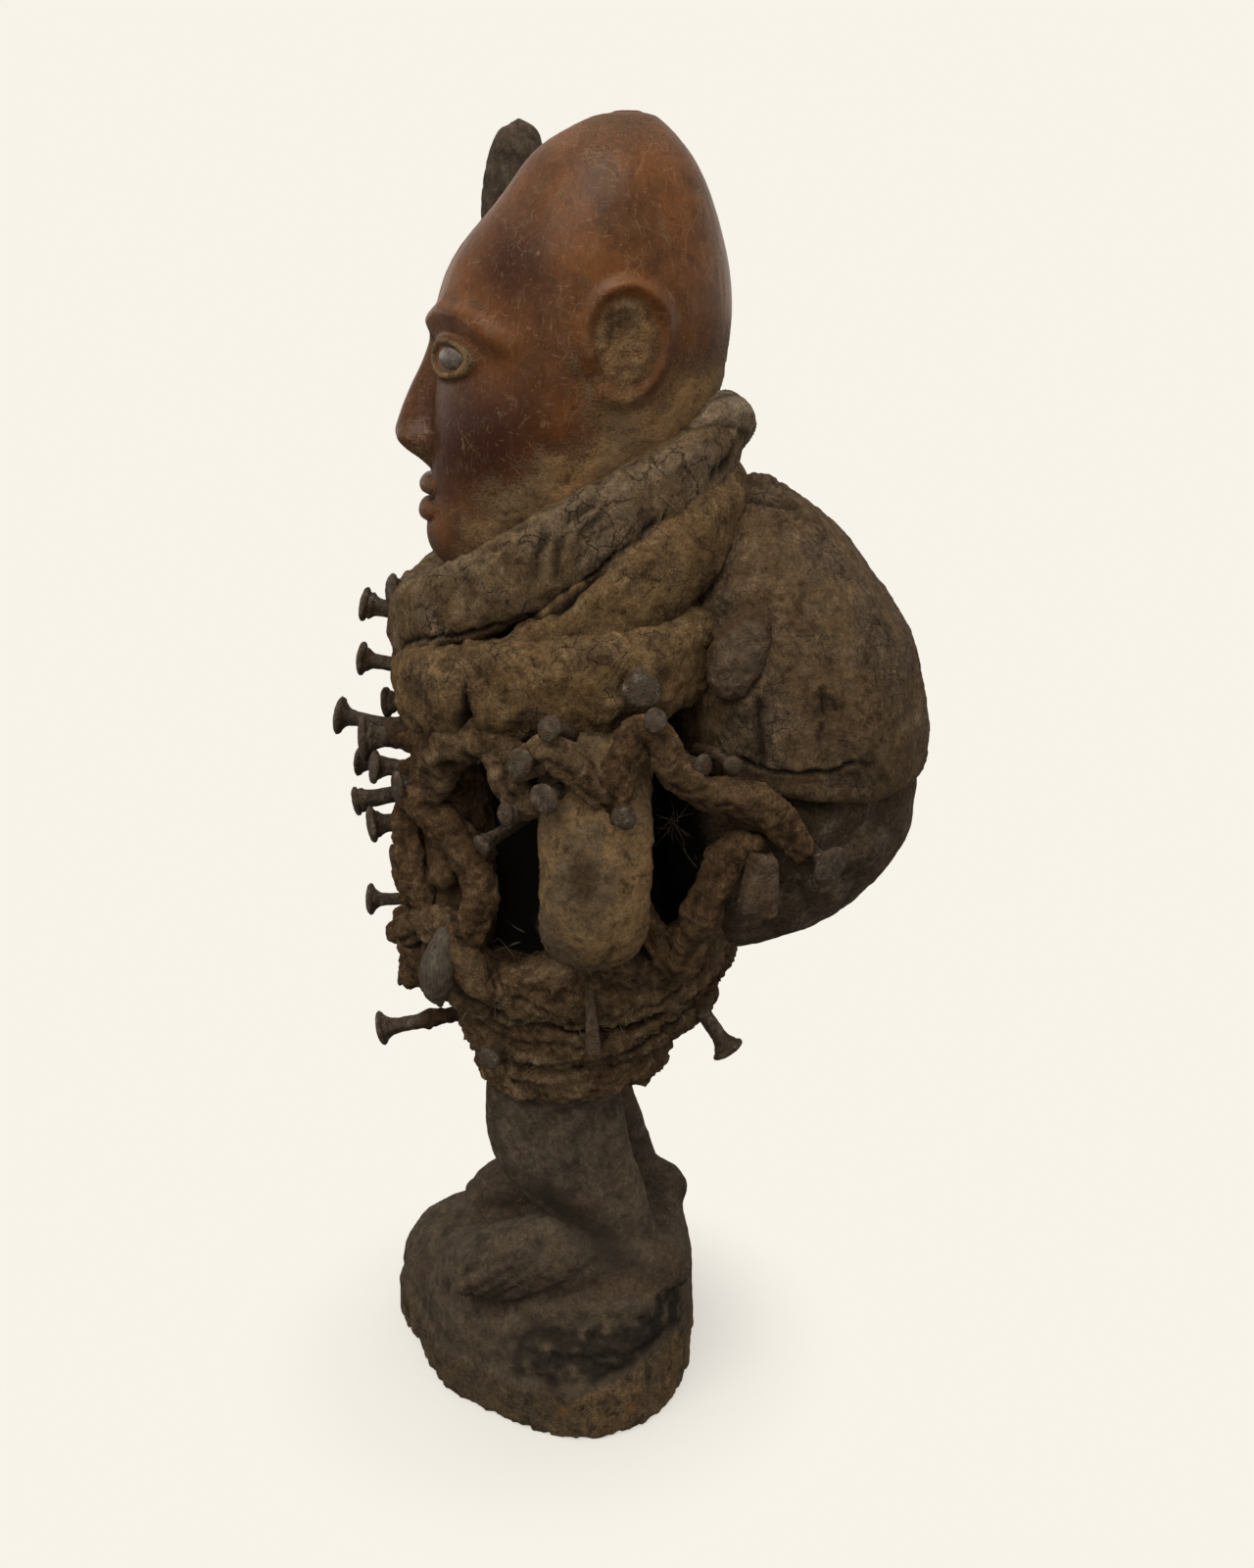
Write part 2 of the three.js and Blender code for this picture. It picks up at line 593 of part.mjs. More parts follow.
const PIECES = [
  ...Object.entries(NAILS).map(([name, size]) => piece(name, "iron", (g) => nail(size, g), SNUG)),
  piece("bundle_stud", "iron", bundleStud, SNUG),
  piece("iron_wedge", "iron", ironWedge, SNUG),
  piece("flat_tack", "iron", flatTack, SNUG),
  piece("eye_inlay_left", "glass", eyeInlay(1), SNUG),
  piece("eye_inlay_right", "glass", eyeInlay(-1), SNUG),
  piece("figure", "wood", figure, SLACK, (g) => union(trunk(g))),
  piece("collar_upper_wrap", "cloth", wrap("collar_upper_wrap", 16)),
  piece("collar_middle_wrap", "cloth", wrap("collar_middle_wrap", 16)),
  piece("collar_lower_wrap", "cloth", wrap("collar_lower_wrap", 16)),
  piece("collar_knot", "cloth", (g) => bar(8, 8, KNOT, alongY, g)),
  piece("back_bundle", "cloth", (g) => column(16, 10, BUNDLE_ROWS, g)),
  piece("bundle_sling", "cloth", (g) => column(16, 8, SLING_ROWS, g)),
  piece("belly_pack", "crust", (g) => column(12, 7, BELLY_ROWS, g)),
  piece("hip_wrap_upper", "crust", wrap("hip_wrap_upper", 14)),
  piece("hip_wrap_lower", "crust", wrap("hip_wrap_lower", 14)),
  piece("hip_band", "crust", wrap("hip_band", 12)),
  piece("seed_pod", "seed", (g) => bar(6, 7, POD, alongX, g)),
  ...Object.entries(STRIPS).map(([name, rows]) =>
    piece(name, "crust", (g) => bar(5, 2 * rows.length - 2, rows, alongX, g)),
  ),
];

// The biggest body of a solid, where a cut leaves crumbs beside it
const biggest = (solid) =>
  solid.decompose().reduce((most, next) => (next.volume() > most.volume() ? next : most));

// A solid as a named mesh
function meshOf(name, solid, look) {
  const { vertProperties, triVerts } = solid.getMesh();
  const geometry = new THREE.BufferGeometry();
  geometry.setAttribute("position", new THREE.BufferAttribute(vertProperties, 3));
  geometry.setIndex(new THREE.BufferAttribute(triVerts, 1));
  const mesh = new THREE.Mesh(geometry, new THREE.MeshStandardMaterial(LOOKS[look]));
  mesh.name = name;
  return mesh;
}

const nkisi = new THREE.Group();
let taken = PIECES[0].cutter;
nkisi.add(meshOf(PIECES[0].name, PIECES[0].solid, PIECES[0].look));
for (const { name, look, solid, cutter } of PIECES.slice(1)) {
  nkisi.add(meshOf(name, biggest(solid.subtract(taken)), look));
  taken = taken.add(cutter);
}

export default nkisi;
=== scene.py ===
"""Looks of a nkisi power figure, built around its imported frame.

The frame gives every piece its place. Each class below stands for one sub-assembly of the real
figure: the carved block, the cloth round the neck, the bundle on the back, the crusted packs and
strips, the iron, and the small things bound in. Sizes are millimetres, +Z up, the face looks
along -Y, and a mesh is put into metres only when it is made.
"""

from __future__ import annotations

import logging
import math
from dataclasses import dataclass, field
from enum import Enum
from functools import cache
from typing import Sequence

import bpy
import numpy as np
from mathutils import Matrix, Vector

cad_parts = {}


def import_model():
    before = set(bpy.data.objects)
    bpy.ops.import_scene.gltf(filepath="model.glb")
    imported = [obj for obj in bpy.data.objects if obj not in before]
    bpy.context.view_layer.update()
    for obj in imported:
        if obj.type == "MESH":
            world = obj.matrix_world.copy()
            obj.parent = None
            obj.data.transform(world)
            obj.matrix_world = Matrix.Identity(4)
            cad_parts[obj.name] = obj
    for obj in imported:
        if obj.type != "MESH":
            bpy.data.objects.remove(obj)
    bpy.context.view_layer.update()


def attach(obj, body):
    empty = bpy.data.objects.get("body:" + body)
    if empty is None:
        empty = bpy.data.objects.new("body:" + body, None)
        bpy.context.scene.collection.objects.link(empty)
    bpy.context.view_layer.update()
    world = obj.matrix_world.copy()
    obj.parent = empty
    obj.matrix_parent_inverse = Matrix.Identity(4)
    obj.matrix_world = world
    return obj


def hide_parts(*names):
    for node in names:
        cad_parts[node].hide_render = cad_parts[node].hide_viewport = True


Array = np.ndarray
Colour = tuple[float, float, float]
Rows = Sequence[Sequence[float]]
Socket = bpy.types.NodeSocket

LOG = logging.getLogger("nkisi")
METRES = 0.001
BODY = "root"
FULL_TURN = 2 * math.pi
GRAIN_SEED = 41
LEFT = 1
RIGHT = -1


# Curves and small formulas


def ease(value: Array, low: float, high: float) -> Array:
    """A smooth step: 0 below low, 1 above high, and 3t squared less 2t cubed between them."""
    t = np.clip((value - low) / (high - low), 0, 1)
    return t * t * (3 - 2 * t)


def ridge(distance: Array, width: float) -> Array:
    """A bell curve of a distance: e to the power of minus distance over width, squared."""
    return np.exp(-((distance / width) ** 2))


def glide(rows: Rows, t: Array) -> Array:
    """The numbers at shares t of a smooth curve through rows of numbers.

    Formula: Catmull-Rom. Between two rows each number is a cubic whose slope at a row is half the
    difference of the rows on either side, and beyond the ends the rows go on in a straight line.

    Args:
        rows: The rows the curve passes through.
        t: Shares from 0 to 1, of any shape.

    Returns:
        One row of numbers for each share.
    """
    table = np.asarray(rows, float)
    last = len(table) - 1
    at = np.clip(t, 0, 1) * last
    i = np.minimum(at.astype(int), last - 1)
    f = (at - i)[..., None]
    longer = np.vstack([2 * table[0] - table[1], table, 2 * table[-1] - table[-2]])
    a, b, c, d = (longer[i + k] for k in range(4))
    return b + f * (c - a + f * (2 * a - 5 * b + 4 * c - d + f * (3 * (b - c) + d - a))) / 2


def turns(count: int) -> Array:
    """Evenly spaced angles of one full turn, without the last, which is the first again."""
    return np.linspace(0, FULL_TURN, count, endpoint=False)


def paced(rows: Rows, count: int) -> Array:
    """Shares at which a curve through rows has equal steps of its own length.

    Args:
        rows: The rows the curve passes through.
        count: How many shares to give.

    Returns:
        The shares, from 0 to 1.
    """
    fine = np.linspace(0, 1, 60 * len(rows))
    steps = np.linalg.norm(np.diff(glide(rows, fine), axis=0), axis=1)
    length = np.concatenate([[0], np.cumsum(steps)])
    return np.interp(np.linspace(0, length[-1], count), length, fine)


def from_path(spots: Array, path: Rows) -> Array:
    """Distance of each spot to a line of straight stretches, the least over its stretches.

    Args:
        spots: Points in as many dimensions as the path has.
        path: The corners of the line.

    Returns:
        One distance for each spot.
    """
    corners = np.asarray(path, float)
    best = np.full(spots.shape[:-1], np.inf)
    for start, stop in zip(corners[:-1], corners[1:]):
        way = stop - start
        share = np.clip(((spots - start) @ way) / (way @ way), 0, 1)
        gap = np.linalg.norm(spots - start - share[..., None] * way, axis=-1)
        best = np.minimum(best, gap)
    return best


class Grain:
    """Seeded noise in space, for crust, cloth and chisel marks."""

    SIZE = 256

    def __init__(self, seed: int) -> None:
        """Shuffles the tables that give each corner of a lattice its slope and its spot."""
        rng = np.random.default_rng(seed)
        order = rng.permutation(self.SIZE)
        slopes = rng.normal(size=(self.SIZE, 3))
        self.order: Array = order
        self.slopes: Array = slopes / np.linalg.norm(slopes, axis=1, keepdims=True)
        self.spots: Array = rng.random((self.SIZE, 3))

    def _key(self, corner: Array) -> Array:
        """The shuffled number of each whole-numbered corner."""
        wrapped = corner & (self.SIZE - 1)
        key = self.order[wrapped[..., 0]]
        key = self.order[(key + wrapped[..., 1]) & (self.SIZE - 1)]
        return self.order[(key + wrapped[..., 2]) & (self.SIZE - 1)]

    def waves(self, points: Array, size: float | Sequence[float], shift: float = 0) -> Array:
        """Smooth noise from about -1 to 1.

        Formula: space is cut into boxes of the given size. Each corner has a slope, and a point
        takes the slopes' heights at its box's eight corners, blended by 6t^5 - 15t^4 + 10t^3.

        Args:
            points: Places in millimetres.
            size: The size of a wave, one for all or one for each axis.
            shift: Moves the pattern, so that two layers of one size differ.

        Returns:
            One height for each point.
        """
        scaled = points / np.asarray(size, float) + shift
        corner = np.floor(scaled).astype(int)
        f = scaled - corner
        blend = f * f * f * (f * (f * 6 - 15) + 10)
        total = np.zeros(points.shape[:-1])
        for step in np.ndindex(2, 2, 2):
            offset = np.array(step)
            height = ((f - offset) * self.slopes[self._key(corner + offset)]).sum(-1)
            total += height * np.where(offset, blend, 1 - blend).prod(-1)
        return total * 1.7

    def rough(
        self, points: Array, size: float | Sequence[float], layers: int = 3, shift: float = 0,
    ) -> Array:
        """Waves on waves: each layer has half the size and half the height of the one before."""
        total = np.zeros(points.shape[:-1])
        for layer in range(layers):
            share = 0.5**layer
            total += share * self.waves(points, np.asarray(size) * share, shift + 11.3 * layer)
        return total

    def cracked(self, points: Array, size: float, shift: float = 0) -> Array:
        """How far each point is from the nearest crack of dried mud, 0 on it and about 1 inside.

        Formula: one spot is scattered in each box, and the crack runs where the two nearest spots
        are equally far, so this is the second nearest distance less the nearest.

        Args:
            points: Places in millimetres.
            size: The size of a cake of mud.
            shift: Moves the pattern.

        Returns:
            One share for each point.
        """
        scaled = points / size + shift
        corner = np.floor(scaled).astype(int)
        near = np.full(points.shape[:-1], 9.0)
        second = near.copy()
        for step in np.ndindex(3, 3, 3):
            at = corner + np.array(step) - 1
            gap = np.linalg.norm(scaled - at - self.spots[self._key(at)], axis=-1)
            second = np.minimum(second, np.maximum(near, gap))
            near = np.minimum(near, gap)
        return second - near


GRAIN = Grain(GRAIN_SEED)


# Surfaces


@dataclass
class Skin:
    """A surface as a grid of points: rows along it, and columns that close round it.

    Attributes:
        points: Rows by columns by three, in millimetres.
        ring: True where the rows close on themselves too, as on a hoop. Otherwise the first and
            the last row are each drawn to one point.
        layers: Named shares from 0 to 1 for each point, which the finishes read.
    """

    points: Array
    ring: bool = False
    layers: dict[str, Array] = field(default_factory=dict)

    def _leaning(self) -> Array:
        """Normals whose length is the area they stand for: across the steps round and along."""
        p = self.points
        round_step = np.roll(p, -1, 1) - np.roll(p, 1, 1)
        if self.ring:
            along_step = np.roll(p, -1, 0) - np.roll(p, 1, 0)
        else:
            along_step = np.gradient(p, axis=0)
        leaning = np.cross(round_step, along_step)
        if not self.ring:
            leaning[0] = leaning[1].mean(0)
            leaning[-1] = leaning[-2].mean(0)
        return leaning

    def outward(self) -> float:
        """1 where rows times columns already faces out, and -1 where it faces in."""
        centred = self.points - self.points.mean((0, 1))
        return 1.0 if (self._leaning() * centred).sum() > 0 else -1.0

    def normals(self) -> Array:
        """Unit normals that point outwards."""
        leaning = self._leaning() * self.outward()
        return leaning / np.maximum(np.linalg.norm(leaning, axis=-1, keepdims=True), 1e-9)

    def push(self, depth: Array) -> None:
        """Moves each point outwards along its normal by its own depth in millimetres."""
        self.points = self.points + self.normals() * depth[..., None]

    def faces(self) -> tuple[Array, list[tuple[int, ...]] | Array, Array, Array]:
        """The vertices, the quads, the triangles at the poles, and the rows kept of a layer."""
        rows, columns = self.points.shape[:2]
        if self.ring:
            index = np.arange(rows * columns).reshape(rows, columns)
            below = np.roll(index, -1, 0)
            kept = np.ones((rows, columns), bool)
            caps = np.zeros((0, 3), int)
        else:
            index = 1 + np.arange((rows - 2) * columns).reshape(rows - 2, columns)
            last = 1 + index.size
            first_ring, last_ring = index[0], index[-1]
            caps = np.concatenate(
                [
                    np.stack([np.zeros_like(first_ring), first_ring, np.roll(first_ring, -1)], 1),
                    np.stack([np.full_like(last_ring, last), np.roll(last_ring, -1), last_ring], 1),
                ]
            )
            kept = np.ones((rows, columns), bool)
            kept[0, 1:] = kept[-1, 1:] = False
            below = index[1:]
            index = index[:-1]
        quads = np.stack([index, below, np.roll(below, -1, 1), np.roll(index, -1, 1)], -1).reshape(
            -1, 4,
        )
        if self.outward() > 0:
            quads, caps = quads[:, ::-1], caps[:, ::-1]
        return self.points[kept], quads, caps, kept


def mesh_of(name: str, points: Array, quads: Array, triangles: Array) -> bpy.types.Mesh:
    """A smooth-shaded mesh from whole arrays.

    Args:
        name: The mesh's name.
        points: Vertices in millimetres.
        quads: Faces of four corners.
        triangles: Faces of three corners.

    Returns:
        The mesh, in metres.
    """
    mesh = bpy.data.meshes.new(name)
    mesh.vertices.add(len(points))
    mesh.vertices.foreach_set("co", (points * METRES).astype(np.float32).ravel())
    corners = np.concatenate([quads.ravel(), triangles.ravel()]).astype(np.int32)
    starts = np.concatenate(
        [np.arange(len(quads)) * 4, len(quads) * 4 + np.arange(len(triangles)) * 3]
    ).astype(np.int32)
    mesh.loops.add(len(corners))
    mesh.loops.foreach_set("vertex_index", corners)
    mesh.polygons.add(len(starts))
    mesh.polygons.foreach_set("loop_start", starts)
    mesh.polygons.foreach_set("use_smooth", np.ones(len(starts), bool))
    mesh.update(calc_edges=True)
    return mesh


def paint(mesh: bpy.types.Mesh, layers: dict[str, Array]) -> None:
    """Stores each named share on the mesh's points, for the finishes to read."""
    for name, values in layers.items():
        stored = mesh.attributes.new(name, "FLOAT", "POINT")
        stored.data.foreach_set("value", np.clip(values, 0, 1).astype(np.float32).ravel())


def dress(name: str, mesh: bpy.types.Mesh, finish: "Finish", nodes: Sequence[str]) -> None:
    """Puts a finished mesh in the scene in place of its CAD nodes.

    Args:
        name: The piece's name.
        mesh: Its mesh, in metres in the frame.
        finish: What it is made of.
        nodes: The CAD nodes it stands for.
    """
    piece = bpy.data.objects.new(name, mesh)
    bpy.context.scene.collection.objects.link(piece)
    mesh.materials.clear()
    mesh.materials.append(material_of(finish))
    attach(piece, BODY)
    if nodes:
        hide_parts(*nodes)
    LOG.info("%s: %d faces", name, len(mesh.polygons))


def dress_skin(name: str, skin: Skin, finish: "Finish", *nodes: str) -> None:
    """Makes a skin's mesh, stores its layers and puts it in the scene."""
    points, quads, caps, kept = skin.faces()
    mesh = mesh_of(name, points, quads, caps)
    paint(mesh, {key: values[kept] for key, values in skin.layers.items()})
    dress(name, mesh, finish, nodes)


def limb(centre: Array, side: Array, deep: Array, end: Array, around: int, cap: float) -> Skin:
    """Oval rings carried along a path, with a dome on each end.

    Formula: a ring is its centre, plus the cosine of the turn times one half axis, plus the sine
    times the other. On a dome the end ring shrinks with the sine of a quarter turn, and moves out
    with its cosine times the dome's height.

    Args:
        centre: The rings' centres.
        side: One half axis for each ring.
        deep: The other half axis for each ring.
        end: The direction of the path at each ring.
        around: How many points go round.
        cap: Height of the domes.

    Returns:
        The surface.
    """
    turn = turns(around)[None, :, None]
    rings = centre[:, None] + side[:, None] * np.cos(turn) + deep[:, None] * np.sin(turn)
    rows = max(5, min(14, around // 12))
    quarter = np.linspace(0, math.pi / 2, rows, endpoint=False)[:, None, None]
    first = centre[0] + (rings[0] - centre[0]) * np.sin(quarter) - end[0] * cap * np.cos(quarter)
    last = centre[-1] + (rings[-1] - centre[-1]) * np.sin(quarter) + end[-1] * cap * np.cos(quarter)
    return Skin(np.concatenate([first, rings, last[::-1]]))


def column(rows: Rows, along: int, around: int, cap: float = 0.5) -> Skin:
    """A limb of level slices, from rows of height, front y, back y, inner x and outer x."""
    z, front, back, inner, outer = glide(rows, paced(rows, along)).T
    none = np.zeros_like(z)
    up = np.full_like(z, np.sign(rows[-1][0] - rows[0][0]))
    return limb(
        np.stack([(inner + outer) / 2, (front + back) / 2, z], 1),
        np.stack([np.abs(outer - inner) / 2, none, none], 1),
        np.stack([none, (back - front) / 2, none], 1), np.stack([none, none, up], 1), around, cap,
    )


def bar(rows: Rows, facing: Sequence[float], along: int, around: int, cap: float = 1) -> Skin:
    """A limb along a path, from rows of x, y, z, half width across `facing` and along it.

    Formula: the path's direction comes from two points close by. One half axis is `facing` less
    its share along the path, and the other is their cross product.

    Args:
        rows: The rows the bar passes through.
        facing: The direction that one half axis keeps to.
        along: How many rings.
        around: How many points go round.
        cap: Height of the domes.

    Returns:
        The surface.
    """
    t = paced(rows, along)
    x, y, z, wide, thick = glide(rows, t).T
    end = (glide(rows, t + 0.01) - glide(rows, t - 0.01))[:, :3]
    end /= np.linalg.norm(end, axis=1, keepdims=True)
    deep = np.asarray(facing, float) - end * (end @ np.asarray(facing, float))[:, None]
    deep /= np.linalg.norm(deep, axis=1, keepdims=True)
    side = np.cross(end, deep)
    centre = np.stack([x, y, z], 1)
    return limb(centre, side * wide[:, None], deep * thick[:, None], end, around, cap)


def egg(
    centre: Sequence[float], halves: Sequence[float], along: int, around: int, hard: float = 1,
) -> Skin:
    """An egg, or a box with soft edges.

    Formula: sine of the rise times cosine and sine of the turn, and cosine of the rise, where
    every sine and cosine keeps its sign and has its size raised to the power `hard`.

    Args:
        centre: Its middle.
        halves: Its half sizes.
        along: How many rings.
        around: How many points go round.
        hard: 1 for an egg, and about a third for a box.

    Returns:
        The surface.
    """
    rise = np.linspace(0, math.pi, along)[:, None]
    turn = turns(around)[None, :]
    waves = (np.sin(rise), np.cos(turn), np.sin(turn), np.cos(rise))
    out, across, deep, up = (np.sign(wave) * np.abs(wave) ** hard for wave in waves)
    ball = np.stack(np.broadcast_arrays(out * across, out * deep, up), -1)
    return Skin(np.asarray(centre, float) + np.asarray(halves, float) * ball)


def gathered(name: str, skins: Sequence[Skin]) -> bpy.types.Mesh:
    """Several skins as one loose mesh."""
    points, quads, caps, start = [], [], [], 0
    for skin in skins:
        p, q, c, _ = skin.faces()
        points.append(p)
        quads.append(q + start)
        caps.append(c + start)
        start += len(p)
    return mesh_of(name, *(np.concatenate(part) for part in (points, quads, caps)))


def fused(name: str, skins: Sequence[Skin], voxel: float, smoothing: int) -> bpy.types.Mesh:
    """Several closed surfaces made one, as wood or mud is, by a voxel remesh that is applied.

    Args:
        name: The mesh's name.
        skins: The surfaces to join.
        voxel: Size of a voxel in millimetres.
        smoothing: How often the joined surface is relaxed.

    Returns:
        The joined mesh, in metres.
    """
    loose = gathered(name + "_loose", skins)
    holder = bpy.data.objects.new(name + "_loose", loose)
    bpy.context.scene.collection.objects.link(holder)
    remesh = holder.modifiers.new("join", "REMESH")
    remesh.mode = "VOXEL"
    remesh.voxel_size = voxel * METRES
    relax = holder.modifiers.new("relax", "SMOOTH")
    relax.factor = 0.5
    relax.iterations = smoothing
    ready = holder.evaluated_get(bpy.context.evaluated_depsgraph_get())
    mesh = bpy.data.meshes.new_from_object(ready)
    mesh.name = name
    bpy.data.objects.remove(holder)
    bpy.data.meshes.remove(loose)
    mesh.polygons.foreach_set("use_smooth", np.ones(len(mesh.polygons), bool))
    return mesh


def read_mesh(mesh: bpy.types.Mesh) -> tuple[Array, Array]:
    """A mesh's points in millimetres and its normals."""
    points = np.zeros(len(mesh.vertices) * 3, np.float32)
    normals = np.zeros(len(mesh.vertices) * 3, np.float32)
    mesh.vertices.foreach_get("co", points)
    mesh.vertices.foreach_get("normal", normals)
    return points.reshape(-1, 3).astype(float) / METRES, normals.reshape(-1, 3).astype(float)


def push_mesh(mesh: bpy.types.Mesh, depth: Array, floor: float = -math.inf) -> Array:
    """Moves a mesh's points along their normals by their depths, but not below a floor."""
    points, normals = read_mesh(mesh)
    points = points + normals * depth[:, None]
    points[:, 2] = np.maximum(points[:, 2], floor)
    mesh.vertices.foreach_set("co", (points * METRES).astype(np.float32).ravel())
    mesh.update()
    return points


@dataclass(frozen=True)
class Line:
    """A crease or a crack on a flank, drawn from corners of y and z.

    Attributes:
        path: Its corners.
        width: Half its width.
        depth: How deep it is.
        jag: How far it wanders.
        lip: Height of the raised edge beside it, as a share of the depth.
        groove_shade: How dark the painted shade inside it is.
        hand: LEFT or RIGHT flank, or 0 for both.
    """

    path: Rows
    width: float
    depth: float
    jag: float = 0.6
    lip: float = 0.0
    groove_shade: float = 0.0
    hand: int = 0

    def carve(self, points: Array) -> tuple[Array, Array]:
        """How far the line moves each point outwards, and how much shade it paints in it.

        Formula: the distance to the path, after the flank's y and z have been moved by a little
        noise, goes through a bell curve, and a second bell beside it raises the lip.

        Args:
            points: The surface's points.

        Returns:
            The depth, which is below 0 in the groove, and the blackness.
        """
        flank = points[..., 1:].copy()
        flank[..., 0] += self.jag * GRAIN.waves(points, 5, 3.1)
        flank[..., 1] += self.jag * GRAIN.waves(points, 4, 7.7)
        flank[..., 1] += 0.4 * self.jag * GRAIN.waves(points, 1.7, 5.2)
        gap = from_path(flank, self.path)
        x = points[..., 0] * self.hand if self.hand else np.abs(points[..., 0])
        on_flank = ease(x, 14, 24)
        groove = ridge(gap, self.width) * on_flank
        edge = ridge(gap - 2.2 * self.width, self.width) * on_flank
        # Painted shade: the inside of the groove is darkened, as shade would fall in it.
        groove_shade = self.groove_shade * ridge(gap, 1.1 * self.width) * on_flank
        return self.depth * (self.lip * edge - groove), groove_shade


def carve_all(points: Array, lines: Sequence[Line]) -> tuple[Array, Array]:
    """The depth of all lines added up, and the most painted shade of any line."""
    depth = np.zeros(points.shape[:-1])
    groove_shade = np.zeros(points.shape[:-1])
    for line in lines:
        moved, dark = line.carve(points)
        depth += moved
        groove_shade = np.maximum(groove_shade, dark)
    return depth, groove_shade


# Finishes


class Slot(Enum):
    """The record's material slots."""

    WOOD = "wood"
    CLOTH = "cloth"
    CRUST = "crust"
    IRON = "iron"
    GLASS = "eye_glass"
    SEED = "seed"


class Bench:
    """The nodes of one material or of the sky, laid one after another."""

    def __init__(self, tree: bpy.types.NodeTree, shader: str, place: str) -> None:
        """Takes a node tree, the name of its shader and the coordinates that it goes by."""
        self.tree = tree
        self.shader = tree.nodes[shader]
        self.place = tree.nodes.new("ShaderNodeTexCoord").outputs[place]

    def _feed(self, socket: Socket, value: object) -> None:
        """Links a socket to another, or sets it to a number or a colour."""
        if isinstance(value, Socket):
            self.tree.links.new(value, socket)
        elif isinstance(value, tuple) and len(value) == 3 and socket.type == "RGBA":
            socket.default_value = (*value, 1)
        else:
            socket.default_value = value

    def _node(self, kind: str, feeds: dict, **fields: object) -> bpy.types.Node:
        """Adds a node.

        Args:
            kind: Its type, without the words that all shader nodes start with.
            feeds: What goes into its sockets, by name or number.
            **fields: Its own settings.

        Returns:
            The node.
        """
        node = self.tree.nodes.new("ShaderNode" + kind)
        for key, value in fields.items():
            setattr(node, key, value)
        for key, value in feeds.items():
            self._feed(node.inputs[key], value)
        return node

    def set(self, **values: object) -> None:
        """Feeds the shader's sockets, named with _ for each space."""
        for key, value in values.items():
            self._feed(self.shader.inputs[key.replace("_", " ")], value)

    def layer(self, name: str) -> Socket:
        """The share that the mesh stores under a name, which is 0 where it has none."""
        return self._node("Attribute", {}, attribute_name=name).outputs["Fac"]

    def stretched(self, x: float, y: float, z: float) -> Socket:
        """The place with each axis drawn out by a factor."""
        feeds = {0: self.place, 1: (1 / x, 1 / y, 1 / z)}
        return self._node("VectorMath", feeds, operation="MULTIPLY").outputs[0]

    def bent(self, size: float, amount: float) -> Socket:
        """The place moved about by noise of a size, up to an amount, both in millimetres."""
        feeds = {"Vector": self.place, "Scale": 1 / (size * METRES), "Detail": 2}
        wander = self._node("TexNoise", feeds).outputs["Color"]
        feeds = {0: wander, 1: (2 * amount * METRES,) * 3, 2: self.place}
        return self._node("VectorMath", feeds, operation="MULTIPLY_ADD").outputs[0]

    def noise(
        self, size: float, detail: float = 3, rough: float = 0.55, place: Socket | None = None,
    ) -> Socket:
        """Noise whose waves are `size` millimetres wide, around one half."""
        feeds = {"Vector": place or self.place, "Scale": 1 / (size * METRES)}
        return self._node("TexNoise", {**feeds, "Detail": detail, "Roughness": rough}).outputs[0]

    def cells(self, size: float, edge: bool = False, place: Socket | None = None) -> Socket:
        """Distance to the nearest scattered spot, or to the edge between two of them."""
        feeds = {"Vector": place or self.place, "Scale": 1 / (size * METRES)}
        feature = "DISTANCE_TO_EDGE" if edge else "F1"
        return self._node("TexVoronoi", feeds, feature=feature).outputs["Distance"]

    def span(self, value: object, low: float, high: float, start: float = 0, stop: float = 1) -> Socket:
        """A smooth step of a value from low to high, given as start to stop."""
        feeds = dict(enumerate((value, low, high, start, stop)))
        return self._node("MapRange", feeds, interpolation_type="SMOOTHSTEP").outputs[0]

    def sum(self, kind: str, a: object, b: object) -> Socket:
        """Two values under an operation such as ADD, MULTIPLY, SUBTRACT or MAXIMUM."""
        return self._node("Math", {0: a, 1: b}, operation=kind).outputs[0]

    def mix(self, share: object, a: object, b: object) -> Socket:
        """Colour a, turning to colour b as the share goes from 0 to 1."""
        feeds = {0: share, 6: a, 7: b}
        return self._node("Mix", feeds, data_type="RGBA", clamp_factor=True).outputs[2]

    def patch(
        self, colour: object, other: object, value: object, low: float, high: float, share: float = 1,
    ) -> Socket:
        """A colour that another covers, up to a share, where a value goes from low to high."""
        return self.mix(self.span(value, low, high, 0, share), colour, other)

    def torn(self, name: str, noise: object) -> Socket:
        """A stored share whose edge is broken up by noise around one half."""
        return self.sum("ADD", self.layer(name), self.sum("SUBTRACT", noise, 0.5))

    def lit(self, colour: object, factor: object) -> Socket:
        """A colour made lighter or darker by a factor."""
        return self._node("VectorMath", {0: colour, "Scale": factor}, operation="SCALE").outputs[0]

    def away(self) -> Socket:
        """Distance of the place from the middle, in metres."""
        return self._node("VectorMath", {0: self.place}, operation="LENGTH").outputs["Value"]

    def relief(self, height: object, depth: float) -> None:
        """Bumps the shader's normal by a height that is `depth` millimetres deep in all."""
        bump = self._node("Bump", {"Strength": 1, "Distance": depth * METRES, "Height": height})
        self._feed(self.shader.inputs["Normal"], bump.outputs[0])


@dataclass(frozen=True)
class Finish:
    """What a piece is made of.

    Attributes:
        name: The finish's name.
        slot: The record's slot that it belongs to; not used.
    """

    name: str
    slot: Slot

    def lay(self, bench: Bench) -> None:
        """Lays the nodes of the finish."""
        raise NotImplementedError


